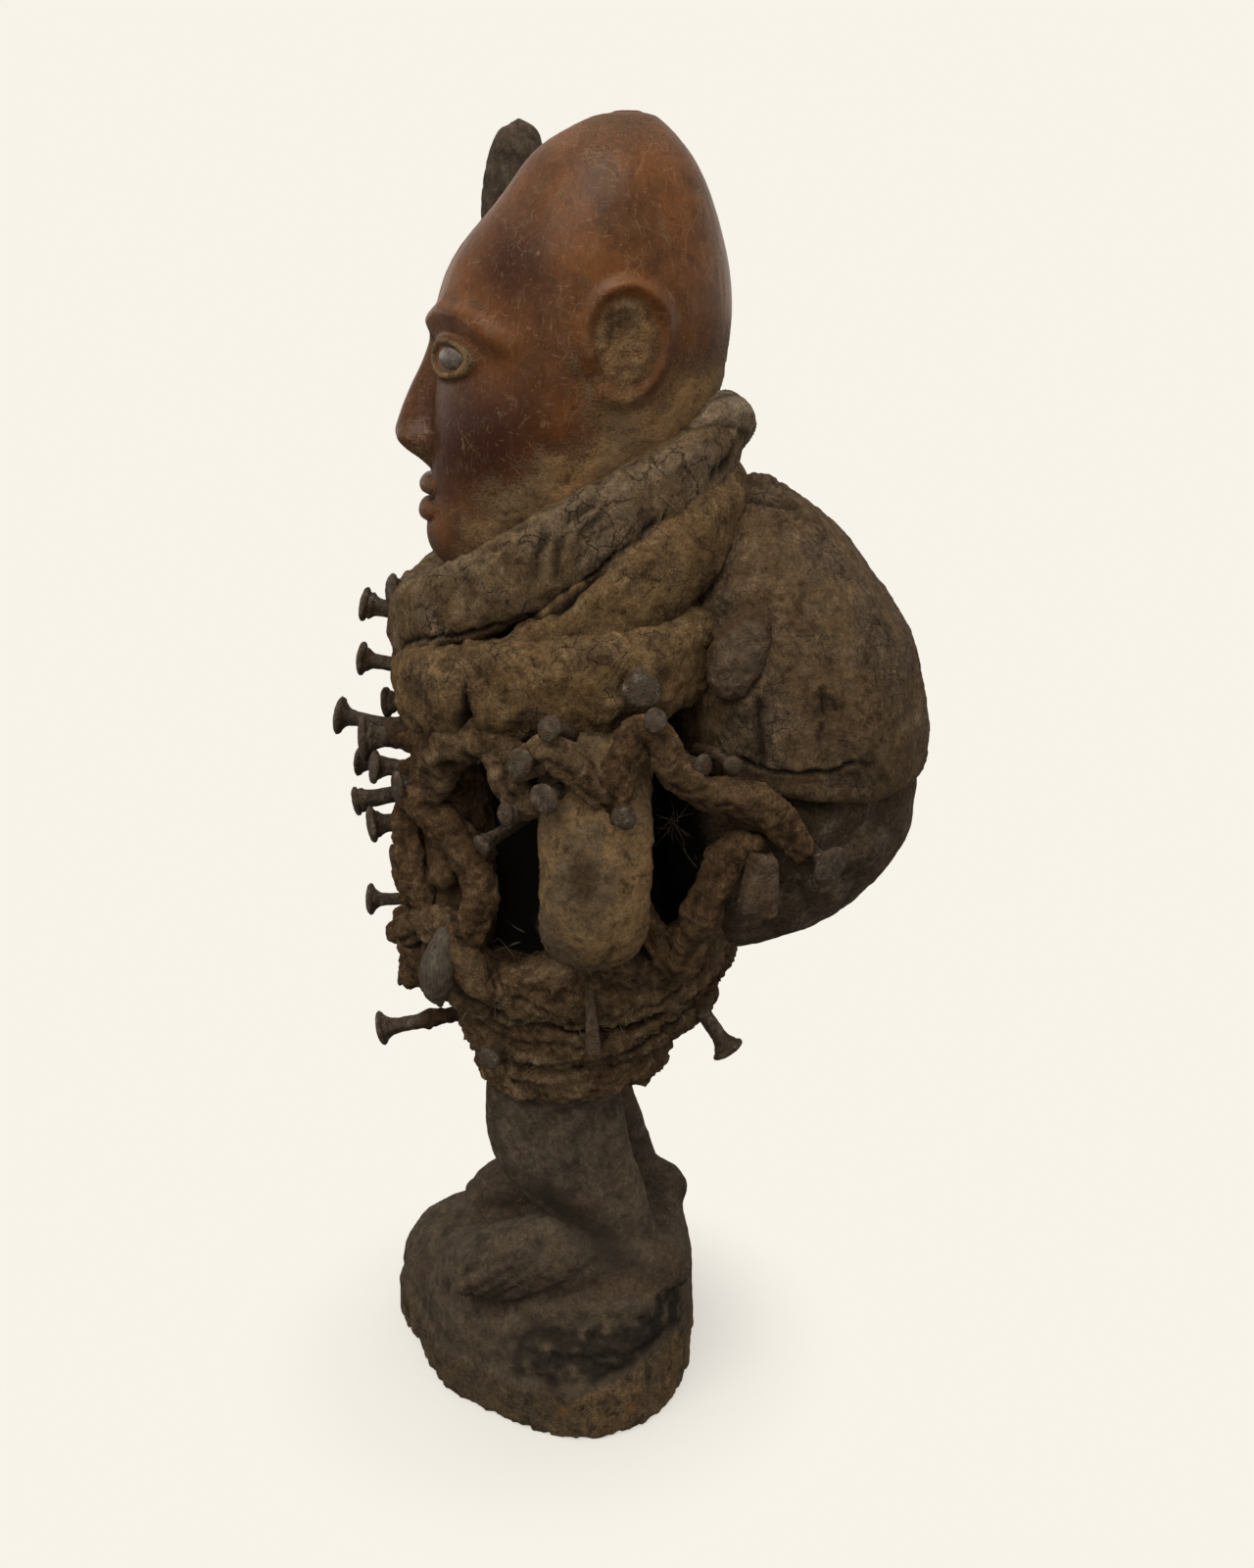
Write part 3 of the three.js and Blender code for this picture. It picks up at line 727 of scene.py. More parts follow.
@dataclass(frozen=True)
class Earth(Finish):
    """Dried earth, resin and dust on cloth or on bound packs: mottled, gritty and cracked.

    Attributes:
        light: Pale mottles and specks, raised places, and a small spot where the layer says.
        main: The body colour.
        dark: Stains, pits and cracks, and painted shade in hollows and creases.
        stain: Large patches of another tone.
        grit: Size of the grains in millimetres.
        depth: Height of the grains in millimetres.
        cracks: Size of the cakes between fine cracks, or 0 for none.
        rough: How matt it is.
        contrast: How far small patches differ in brightness.
    """

    light: Colour
    main: Colour
    dark: Colour
    stain: Colour
    grit: float = 1.1
    depth: float = 0.5
    cracks: float = 7.0
    rough: float = 0.88
    contrast: float = 0.4

    def lay(self, bench: Bench) -> None:
        """Mottles main with light and dark, stains it, darkens pits and cracks, pales it and paints shade
        where the layers say.
        """
        place = bench.bent(9, 3)
        broad = bench.noise(24, 5, 0.62, place)
        mottle = bench.noise(8, 9, 0.72, place)
        grain = bench.noise(self.grit, 4, 0.7)
        speck = bench.noise(self.grit * 0.5, 1, 0.5)
        colour = bench.patch(self.main, self.stain, broad, 0.44, 0.6)
        colour = bench.patch(colour, self.light, mottle, 0.5, 0.66, 0.85)
        colour = bench.patch(colour, self.dark, mottle, 0.48, 0.34, 0.85)
        colour = bench.patch(colour, self.dark, grain, 0.45, 0.28, 0.7)
        colour = bench.patch(colour, self.light, speck, 0.66, 0.76, 0.6)
        height = bench.sum("ADD", bench.sum("MULTIPLY", mottle, 1.6), bench.sum("MULTIPLY", grain, 0.8))
        height = bench.sum("ADD", height, bench.sum("MULTIPLY", speck, 0.3))
        if self.cracks:
            seam = bench.span(bench.cells(self.cracks, True, bench.bent(4, 2.5)), 0.035, 0.0)
            seam = bench.sum("MULTIPLY", seam, bench.span(broad, 0.46, 0.56))
            colour = bench.mix(bench.sum("MULTIPLY", seam, 0.9), colour, self.dark)
            height = bench.sum("SUBTRACT", height, bench.sum("MULTIPLY", seam, 0.5))
        # Paler where the layer says: on raised places, and in a small spot on the bundle.
        colour = bench.mix(bench.layer("pale_and_painted_highlight"), colour, self.light)
        # Painted shade in hollows, creases, cracks and under overhangs, where the layer says.
        colour = bench.mix(bench.layer("stain_and_painted_shade"), colour, self.dark)
        fine = bench.noise(2.6, 6, 0.75, bench.bent(3, 1))
        colour = bench.lit(colour, bench.span(fine, 0.3, 0.7, 1 - self.contrast, 1 + self.contrast))
        sand = bench.noise(0.7, 3, 0.8)
        colour = bench.lit(colour, bench.span(sand, 0.3, 0.7, 0.72, 1.28))
        height = bench.sum("ADD", height, bench.sum("MULTIPLY", fine, 0.8))
        height = bench.sum("ADD", height, bench.sum("MULTIPLY", sand, 0.5))
        # Painted shade where the mesh stores it: voids, cracks, grooves and deep hollows.
        colour = bench.mix(bench.layer("painted_shade"), colour, PAINTED_SHADE_COLOUR)
        bench.set(Base_Color=colour, Roughness=self.rough, Specular_IOR_Level=0.12)
        bench.relief(height, self.depth)


# The colour of painted shade, a very dark brown, laid in voids, cracks and deep hollows.
PAINTED_SHADE_COLOUR: Colour = (0.006, 0.0045, 0.0035)


@dataclass(frozen=True)
class CarvedWood(Finish):
    """The block: polished and honey brown on the head, dull, grey and earthy below it.

    Attributes:
        honey: Light places of the polish.
        brown: The polish's body colour.
        red: Dark red-brown places of the polish.
        scratch: Pale lines in the polish.
        dull: Unpolished wood.
        dusty: Dust on unpolished wood.
        rusty: Reddish patches of unpolished wood.
        earth: Earth on arms, jaw and in the ears.
        earth_dark: Dark places and stains in the earth, and painted shade in the flutes of the base's
            rim.
        earth_grey: Worn, greyer earth, also the colour of the painted highlight on the back of the left
            leg.
        char: Burnt, crumbly wood of the base.
        worn: Bare, lighter wood at the base's corner.
        specular: Strength of the polish's reflections.
        contrast: How far small patches differ in brightness.
    """

    honey: Colour = (0.165, 0.062, 0.018)
    brown: Colour = (0.1, 0.04, 0.0135)
    red: Colour = (0.04, 0.011, 0.005)
    scratch: Colour = (0.25, 0.155, 0.085)
    dull: Colour = (0.053, 0.039, 0.027)
    dusty: Colour = (0.118, 0.09, 0.064)
    rusty: Colour = (0.06, 0.034, 0.019)
    earth: Colour = (0.195, 0.124, 0.06)
    earth_dark: Colour = (0.045, 0.026, 0.013)
    earth_grey: Colour = (0.12, 0.084, 0.05)
    char: Colour = (0.02, 0.0155, 0.0115)
    worn: Colour = (0.15, 0.085, 0.038)
    specular: float = 0.2
    contrast: float = 0.35

    def _polish(self, bench: Bench, broad: object, mottle: object, strands: object) -> Socket:
        """The polished colour: honey and brown, red patches, dust, and scratches each way."""
        shine = bench.patch(self.brown, self.honey, broad, 0.38, 0.62)
        redness = bench.sum(
            "ADD", bench.layer("red"), bench.sum("MULTIPLY", bench.sum("SUBTRACT", mottle, 0.5), 0.8),
        )
        shine = bench.patch(shine, self.red, redness, 0.0, 1.0)
        shine = bench.patch(shine, self.scratch, mottle, 0.5, 0.72, 0.25)
        shine = bench.patch(shine, self.red, mottle, 0.47, 0.34, 0.5)
        shine = bench.patch(shine, self.red, strands, 0.44, 0.28, 0.5)
        shine = bench.patch(shine, self.scratch, strands, 0.6, 0.72, 0.45)
        patchy = bench.noise(15, 3, 0.6)
        for size, reach, low in ((15, 5, 0.5), (9, 4, 0.52), (22, 8, 0.45)):
            edge = bench.cells(size, True, bench.bent(size * 0.6, reach))
            hair = bench.sum(
                "MULTIPLY", bench.span(edge, 0.014, 0.0), bench.span(patchy, low, low + 0.12),
            )
            shine = bench.mix(bench.sum("MULTIPLY", hair, 0.4), shine, self.scratch)
        across = bench.noise(0.5, 2, 0.5, bench.stretched(1, 9, 2.2))
        return bench.patch(shine, self.scratch, across, 0.63, 0.72, 0.4)

    def _ground(self, bench: Bench, broad: object, mottle: object, grain: object) -> Socket:
        """The colour of the earth that covers the wood."""
        ground = bench.patch(self.earth, self.earth_grey, broad, 0.42, 0.6)
        ground = bench.patch(ground, self.earth_dark, mottle, 0.49, 0.34, 0.8)
        ground = bench.patch(ground, self.earth_dark, grain, 0.44, 0.28, 0.8)
        # A dark oval stain and a dark patch on the arm, and painted shade in the flutes of the base's
        # rim.
        shade = bench.torn("stain_and_painted_shade", mottle)
        return bench.patch(ground, self.earth_dark, shade, 0.2, 0.8, 0.7)

    def lay(self, bench: Bench) -> None:
        """Polished and dull wood side by side, then earth, char, a painted highlight, worn wood and
        painted shade over them.
        """
        strands = bench.noise(1.1, 4, 0.62, bench.stretched(1, 1, 10))
        place = bench.bent(10, 4)
        broad = bench.noise(26, 5, 0.6, place)
        mottle = bench.noise(8, 9, 0.7, place)
        grain = bench.noise(0.9, 3, 0.65)
        fine = bench.noise(2.4, 6, 0.75, bench.bent(3, 1))
        polish = bench.layer("polish")
        shine = self._polish(bench, broad, mottle, strands)
        matt = bench.patch(self.dull, self.dusty, mottle, 0.44, 0.66, 0.7)
        matt = bench.patch(matt, self.rusty, broad, 0.52, 0.66, 0.5)
        matt = bench.patch(matt, self.dusty, strands, 0.56, 0.74, 0.5)
        matt = bench.patch(matt, self.char, mottle, 0.48, 0.34, 0.6)
        matt = bench.patch(matt, self.char, grain, 0.46, 0.28, 0.6)
        colour = bench.mix(polish, matt, shine)
        soil = bench.torn("earth", mottle)
        soil = bench.sum("ADD", soil, bench.sum("MULTIPLY", bench.sum("SUBTRACT", grain, 0.5), 0.9))
        soil = bench.span(soil, 0.15, 0.75)
        colour = bench.mix(soil, colour, self._ground(bench, broad, mottle, grain))
        ruddy = bench.torn("rust", mottle)
        colour = bench.patch(colour, self.rusty, ruddy, 0.2, 0.9, 0.8)
        burnt = bench.torn("char", fine)
        colour = bench.patch(colour, self.char, burnt, 0.15, 0.85)
        # Painted highlight on the bulge at the back of the left leg, in greyer earth.
        colour = bench.mix(bench.layer("pale_and_painted_highlight"), colour, self.earth_grey)
        bare = bench.torn("worn", mottle)
        colour = bench.patch(colour, self.worn, bare, 0.4, 0.85)
        spread = bench.sum("MULTIPLY", bench.span(polish, 0, 1, 1, 0.45), self.contrast)
        swing = bench.sum("MULTIPLY", bench.span(fine, 0.3, 0.7, -1, 1), spread)
        colour = bench.lit(colour, bench.sum("ADD", swing, 1))
        # Painted shade: the trunk in the hollows beside the arm, and the grooves of toes and ledges.
        colour = bench.mix(bench.layer("painted_shade"), colour, PAINTED_SHADE_COLOUR)
        gloss = bench.span(polish, 0, 1, 0.78, 0.34)
        gloss = bench.sum("ADD", gloss, bench.sum("MULTIPLY", soil, 0.4))
        gloss = bench.sum("ADD", gloss, bench.span(strands, 0.5, 0.75, 0, 0.16))
        coarse = bench.sum("MULTIPLY", soil, bench.sum("ADD", mottle, bench.sum("MULTIPLY", grain, 0.7)))
        height = bench.sum("ADD", bench.sum("MULTIPLY", strands, 0.4), bench.sum("MULTIPLY", coarse, 2.6))
        rough = bench.sum("MULTIPLY", bench.span(polish, 0, 1, 1, 0), bench.sum("ADD", mottle, fine))
        height = bench.sum("ADD", height, bench.sum("MULTIPLY", rough, 1.2))
        bench.set(Base_Color=colour, Roughness=gloss, Specular_IOR_Level=self.specular)
        bench.relief(height, 0.35)


@dataclass(frozen=True)
class ForgedIron(Finish):
    """Hand-forged iron, brown with rust, rubbed grey on the heads and crusted near the body."""

    iron: Colour = (0.056, 0.041, 0.028)
    rubbed: Colour = (0.16, 0.124, 0.09)
    rust: Colour = (0.06, 0.031, 0.015)
    crust: Colour = (0.045, 0.025, 0.013)

    def lay(self, bench: Bench) -> None:
        """Mottled iron, grey where rubbed, rusty in patches and crusty where the layer says."""
        mottle = bench.noise(4, 8, 0.7, bench.bent(5, 2))
        grain = bench.noise(0.8, 3, 0.65)
        pits = bench.cells(1.3)
        colour = bench.patch(self.iron, self.rubbed, mottle, 0.5, 0.7)
        colour = bench.patch(colour, self.rust, mottle, 0.48, 0.34)
        colour = bench.patch(colour, self.crust, grain, 0.46, 0.3, 0.7)
        coat = bench.torn("crust", mottle)
        coat = bench.span(coat, 0.3, 0.7)
        colour = bench.mix(coat, colour, self.crust)
        # Painted shade, where a mesh stores it.
        colour = bench.mix(bench.layer("painted_shade"), colour, PAINTED_SHADE_COLOUR)
        fine = bench.noise(2.0, 6, 0.75, bench.bent(2, 1))
        colour = bench.lit(colour, bench.span(fine, 0.3, 0.7, 0.5, 1.45))
        rough = bench.sum("ADD", bench.sum("MULTIPLY", coat, 0.25), 0.66)
        height = bench.sum("ADD", grain, bench.sum("MULTIPLY", bench.span(pits, 0.1, 0.4), 0.5))
        height = bench.sum("ADD", height, bench.sum("MULTIPLY", mottle, 1.2))
        bench.set(Base_Color=colour, Roughness=rough, Specular_IOR_Level=0.2)
        bench.relief(height, 0.45)


@dataclass(frozen=True)
class CloudyGlass(Finish):
    """A chip of old glass over pale filler, scratched and clouded."""

    clear: Colour = (0.06, 0.042, 0.031)
    cloud: Colour = (0.15, 0.108, 0.08)

    def lay(self, bench: Bench) -> None:
        """Cloudy patches under a glossy coat."""
        cloud = bench.noise(4, 4, 0.6)
        scratch = bench.noise(0.8, 2, 0.6, bench.stretched(1, 1, 6))
        colour = bench.patch(self.clear, self.cloud, cloud, 0.4, 0.62)
        colour = bench.patch(colour, self.cloud, scratch, 0.6, 0.75, 0.4)
        bench.set(Base_Color=colour, Roughness=0.4, Coat_Weight=0.35, Coat_Roughness=0.15)
        bench.relief(scratch, 0.08)


@dataclass(frozen=True)
class DryHusk(Finish):
    """The grey husk of a seed pod."""

    husk: Colour = (0.06, 0.045, 0.031)
    shade: Colour = (0.025, 0.017, 0.011)
    pale: Colour = (0.095, 0.074, 0.053)

    def lay(self, bench: Bench) -> None:
        """Long fibres and pale rubbed places."""
        strands = bench.noise(0.9, 3, 0.6, bench.stretched(1, 1, 5))
        patch = bench.noise(4, 3, 0.6)
        colour = bench.patch(self.husk, self.pale, patch, 0.45, 0.65)
        colour = bench.patch(colour, self.shade, strands, 0.5, 0.34)
        bench.set(Base_Color=colour, Roughness=0.7, Specular_IOR_Level=0.3)
        bench.relief(strands, 0.3)


@dataclass(frozen=True)
class Straw(Finish):
    """Loose plant fibre and feather barbs."""

    tone: Colour = (0.13, 0.1, 0.07)
    shade: Colour = (0.04, 0.03, 0.02)

    def lay(self, bench: Bench) -> None:
        """Pale and dark stretches along each fibre."""
        colour = bench.patch(self.shade, self.tone, bench.noise(5, 2), 0.4, 0.6)
        bench.set(Base_Color=colour, Roughness=0.8, Specular_IOR_Level=0.2)


@cache
def material_of(finish: Finish) -> bpy.types.Material:
    """The one material of a finish, made the first time that it is asked for."""
    material = bpy.data.materials.new(finish.name)
    material.use_nodes = True
    finish.lay(Bench(material.node_tree, "Principled BSDF", "Object"))
    return material


HEAD_WOOD = CarvedWood(
    "polished_wood", Slot.WOOD, honey=(0.15, 0.053, 0.0135), brown=(0.09, 0.034, 0.0105),
    earth=(0.235, 0.135, 0.058), earth_grey=(0.17, 0.108, 0.055), earth_dark=(0.06, 0.032, 0.014),
)
BODY_WOOD = CarvedWood("dull_wood", Slot.WOOD, specular=0.1)
IRON = ForgedIron("forged_iron", Slot.IRON)
BROWN_IRON = ForgedIron(
    "browned_iron", Slot.IRON, iron=(0.069, 0.046, 0.028), rubbed=(0.132, 0.092, 0.06),
    rust=(0.081, 0.044, 0.023), crust=(0.057, 0.032, 0.017),
)
GLASS = CloudyGlass("cloudy_glass", Slot.GLASS)
HUSK = DryHusk("dry_husk", Slot.SEED)
STRAW = Straw("loose_fibre", Slot.CRUST)
GREY_CLOTH = Earth(
    "greyed_cloth", Slot.CLOTH, light=(0.207, 0.146, 0.084), main=(0.112, 0.071, 0.036),
    dark=(0.03, 0.018, 0.01), stain=(0.123, 0.086, 0.054), grit=0.9, depth=0.5, cracks=11,
)
OCHRE_CLOTH = Earth(
    "ochre_cloth", Slot.CLOTH, light=(0.22, 0.145, 0.072), main=(0.132, 0.08, 0.036),
    dark=(0.035, 0.02, 0.01), stain=(0.105, 0.067, 0.035), grit=1.2, depth=0.8, cracks=8,
)
KNOT_CLOTH = Earth(
    "knot_cloth", Slot.CLOTH, light=(0.3, 0.225, 0.15), main=(0.175, 0.125, 0.08),
    dark=(0.04, 0.026, 0.016), stain=(0.188, 0.144, 0.1), grit=0.9, cracks=0,
)
BUNDLE_CLOTH = Earth(
    "bundle_cloth", Slot.CLOTH, light=(0.151, 0.102, 0.06), main=(0.096, 0.06, 0.031),
    dark=(0.033, 0.02, 0.011), stain=(0.082, 0.057, 0.036), grit=1.0, depth=0.55, cracks=6,
)
SLING_CLOTH = Earth(
    "sling_cloth", Slot.CLOTH, light=(0.155, 0.114, 0.078), main=(0.08, 0.055, 0.034),
    dark=(0.026, 0.017, 0.01), stain=(0.085, 0.062, 0.043), grit=1.0, depth=0.5, cracks=9,
)
RED_CRUST = Earth(
    "red_crust", Slot.CRUST, light=(0.183, 0.112, 0.059), main=(0.078, 0.044, 0.022),
    dark=(0.016, 0.009, 0.005), stain=(0.098, 0.059, 0.03), grit=1.0, depth=0.9, cracks=0, rough=0.93,
)
HIP_CRUST = Earth(
    "hip_crust", Slot.CRUST, light=(0.215, 0.146, 0.083), main=(0.101, 0.064, 0.034),
    dark=(0.02, 0.011, 0.006), stain=(0.086, 0.052, 0.027), grit=1.3, depth=0.9, cracks=0, rough=0.94,
)


# The carved block


@dataclass
class Head:
    """The polished head, with ears, brows, eyelids, nose and lips on plain proportions.

    Attributes:
        rows: Height, front, back and the two sides.
        eye: x and z of an eye.
        eye_half: Half width and half height of an eye.
        brow_height: Height of the brows' inner ends.
        nose_base: Height of the nose's wings.
        nose: Height, reach and half width of the nose from its base to the brow.
        mouth: Height of the line between the lips.
        ear_rim: Corners of y and z of the ear's outer rim.
    """

    rows: Rows = (
        (499.6, 32, 42, -6, 6), (497, 22, 49, -17, 17), (487, 5, 58.5, -30, 30), (471, -8, 67, -39, 39),
        (450, -25, 73, -45, 45), (430, -32, 74.5, -47, 47), (410, -33, 70.5, -47, 47),
        (390, -34, 62, -45, 45), (370, -35, 51, -39, 39), (352, -34, 38, -30, 30),
        (336, -24, 20, -14, 14),
    )
    eye: tuple[float, float] = (22, 418)
    eye_half: tuple[float, float] = (10, 5.4)
    brow_height: float = 429.5
    nose_base: float = 383.6
    nose: Rows = (
        (377, 0, 8), (380.5, 4.5, 11), (384.5, 10.6, 13), (389.5, 13.6, 12.8), (395, 12.6, 10.5),
        (404, 9.4, 8), (413, 5.8, 6.2), (421, 2.6, 5.2), (428, 0.4, 4.6),
    )
    mouth: float = 367.2
    ear_rim: Rows = (
        (25, 417), (23, 430), (30, 441), (41, 443), (50, 435), (50, 422), (45, 411), (36, 406),
        (29, 409),
    )
    jaw_line: Rows = ((-60, 330), (-29, 345), (7, 368), (37, 384), (57, 396), (80, 408))

    def _front(self, points: Array) -> tuple[Array, Array]:
        """How far the face's forms stand out, and how much earth sits in them.

        Formula: each form is a bell or an oval dome of x and z. The nose is a dome across, whose
        width and reach at each height come from a smooth curve through its rows.

        Args:
            points: The head's points.

        Returns:
            The depth in millimetres and the share of earth.
        """
        x, y, z = np.abs(points[..., 0]), points[..., 1], points[..., 2]
        front = ease(-y, -4, 12)
        curve = glide(self.nose, np.linspace(0, 1, 90))
        reach, wide = (np.interp(z, curve[:, 0], curve[:, k]) for k in (1, 2))
        nose = np.maximum(reach, 0) * np.clip(1 - (x / wide) ** 2, 0, 1) ** 0.66
        wing = 3.2 * ridge(np.hypot(x - 9.5, (z - self.nose_base - 4.5) * 0.9), 3.6)
        upper = 4.4 * np.clip(1 - (x / 14.5) ** 2 - ((z - self.mouth - 4.2) / 4.4) ** 2, 0, 1) ** 0.6
        lower = 4.0 * np.clip(1 - (x / 12.5) ** 2 - ((z - self.mouth + 4.6) / 4.6) ** 2, 0, 1) ** 0.6
        slit = 1.6 * ridge(z - self.mouth, 0.9) * ease(-x, -13, -9)
        chin = 3.4 * ridge(np.hypot(x, (z - self.mouth + 18) * 1.1), 13)
        brow_shape = ((5, 0), (18, 4), (31, 3), (42, -5))
        brow_path = [(across, self.brow_height + up) for across, up in brow_shape]
        flat = np.stack([x, z], -1)
        brow = 3.6 * ridge(from_path(flat, brow_path), 4.2)
        around_eye = np.hypot((x - self.eye[0]) / self.eye_half[0], (z - self.eye[1]) / self.eye_half[1])
        socket = -2.4 * ridge(around_eye, 2.1) * (1 - ridge(around_eye, 0.9))
        lid = 2.0 * ridge((around_eye - 1.12) * 6.5, 1.7)
        cheek = 1.6 * ridge(np.hypot(x - 27, z - 392), 17)
        depth = nose + wing + upper + lower - slit + chin + brow + socket + lid + cheek
        lines = ridge(np.abs(from_path(flat, brow_path) - 5), 1.6) * 0.25
        soil = np.maximum(lid / 2.0 * 0.85, ridge(z - self.mouth, 7) * ease(-x, -22, -12) * 0.4)
        soil = np.maximum(soil, lines)
        soil = np.maximum(soil, 0.6 * ridge(np.hypot(x - 10, z - self.nose_base + 1), 5))
        return depth * front, soil * front

    def _ears(self, points: Array) -> tuple[Array, Array]:
        """How far the ears stand out, and how much earth fills them.

        Formula: bells of the distance, on the side's y and z, to the rim, the inner fold, the slit
        and the lobe. Inside the rim the surface falls a little, and mud fills it.

        Args:
            points: The head's points.

        Returns:
            The depth in millimetres and the share of earth.
        """
        side = points[..., 1:]
        y, z = side[..., 0], side[..., 1]
        flank = ease(np.abs(points[..., 0]), 20, 30)
        rim = from_path(side, glide(self.ear_rim, np.linspace(0, 1, 40)))
        front_part = ease(-z, -424, -412) * ease(-y, -40, -28)
        strength = 1 - 0.8 * front_part * ease(-z, -416, -408)
        strength *= 0.85 + 0.3 * GRAIN.waves(points, 12, 4.6)
        inside = ease(1 - np.hypot((y - 37) / 13, (z - 425) / 18), 0, 0.3)
        fold = from_path(
            side,
            glide(((30, 434), (37, 437), (43.5, 431), (44, 421), (39.5, 413)), np.linspace(0, 1, 20)),
        )
        hook = from_path(
            side, glide(((24.5, 420), (28, 424), (31, 421), (32, 415)), np.linspace(0, 1, 14)),
        )
        hollow = np.hypot((y - 35) / 0.8, z - 424)
        slit = from_path(side, ((31.5, 424), (33, 430), (37, 432)))
        lobe = np.hypot((y - 31.5) / 1.3, z - 406.5)
        mud = 0.6 * GRAIN.rough(points, 4, 4, 2.2)
        depth = (
            2.3 * strength * ridge(rim, 1.9)
            - 1.3 * inside
            + inside * mud
            + 1.3 * ridge(fold, 1.7)
            + 1.5 * ridge(hook, 1.4)
            - 1.6 * ridge(hollow, 5.5)
            - 1.3 * ridge(slit, 1.0)
            + 2.3 * ridge(lobe, 4.8)
            - 0.5 * ridge(rim - 5, 2.2) * (1 - inside)
        )
        soil = np.maximum(0.62 * inside, 0.5 * ridge(rim - 5, 2.6) * (1 - inside) * ease(-z, -432, -414))
        return depth * flank, soil * flank * (1 - 0.6 * ridge(rim, 1.6))

    def make(self) -> None:
        """Builds the head's skin, carves it and stores its layers."""
        skin = column(self.rows, 236, 270, cap=0.5)
        depth, soil = self._front(skin.points)
        ear, ear_soil = self._ears(skin.points)
        planes = 0.35 * GRAIN.waves(skin.points, (16, 16, 26), 1.7)
        strokes = 0.1 * GRAIN.waves(skin.points, (1.8, 1.8, 16), 4.4)
        skin.push(depth + ear + planes + strokes)
        x, y, z = np.moveaxis(skin.points, -1, 0)
        jaw = np.interp(y, *np.asarray(self.jaw_line, float).T)
        crust = 1 - ease(z - jaw + 6 * GRAIN.waves(skin.points, 14, 6.1), 0, 30)
        crust *= ease(y, -34, -8) * 0.75 + 0.25
        below_ear = 0.75 * ridge(np.hypot((y - 38) / 1.5, z - 399), 12)
        crown = 0.34 * ridge(np.hypot((y - 34) / 1.8, z - 497), 11)
        soil = np.maximum.reduce([soil, ear_soil, crust, below_ear, crown])
        on_jaw = (1 - ease(z - jaw, -2, 16)) * ease(y, -30, -10)
        skin.push(2.6 * on_jaw * (0.8 + 0.4 * GRAIN.waves(skin.points, 9, 3.8)))
        gritty = ease(soil, 0.25, 0.8) * (0.35 + 0.35 * GRAIN.rough(skin.points, 2.6, 2, 8.8))
        skin.push(gritty)
        red = ridge(np.hypot((y + 18) / 1.3, z - 392), 24) + 0.8 * ridge(np.hypot(y + 2, z - 452), 16)
        red = np.maximum(red, 0.5 * ridge(np.hypot(y - 66, z - 420), 14))
        honey = ridge(np.hypot(y + 14, z - 361), 9) + 0.5 * ridge(np.hypot(y - 60, z - 445), 22)
        skin.layers = {"polish": np.ones_like(z), "earth": soil, "red": np.clip(red - honey, 0, 1)}
        dress_skin("head_carved", skin, HEAD_WOOD, "figure")


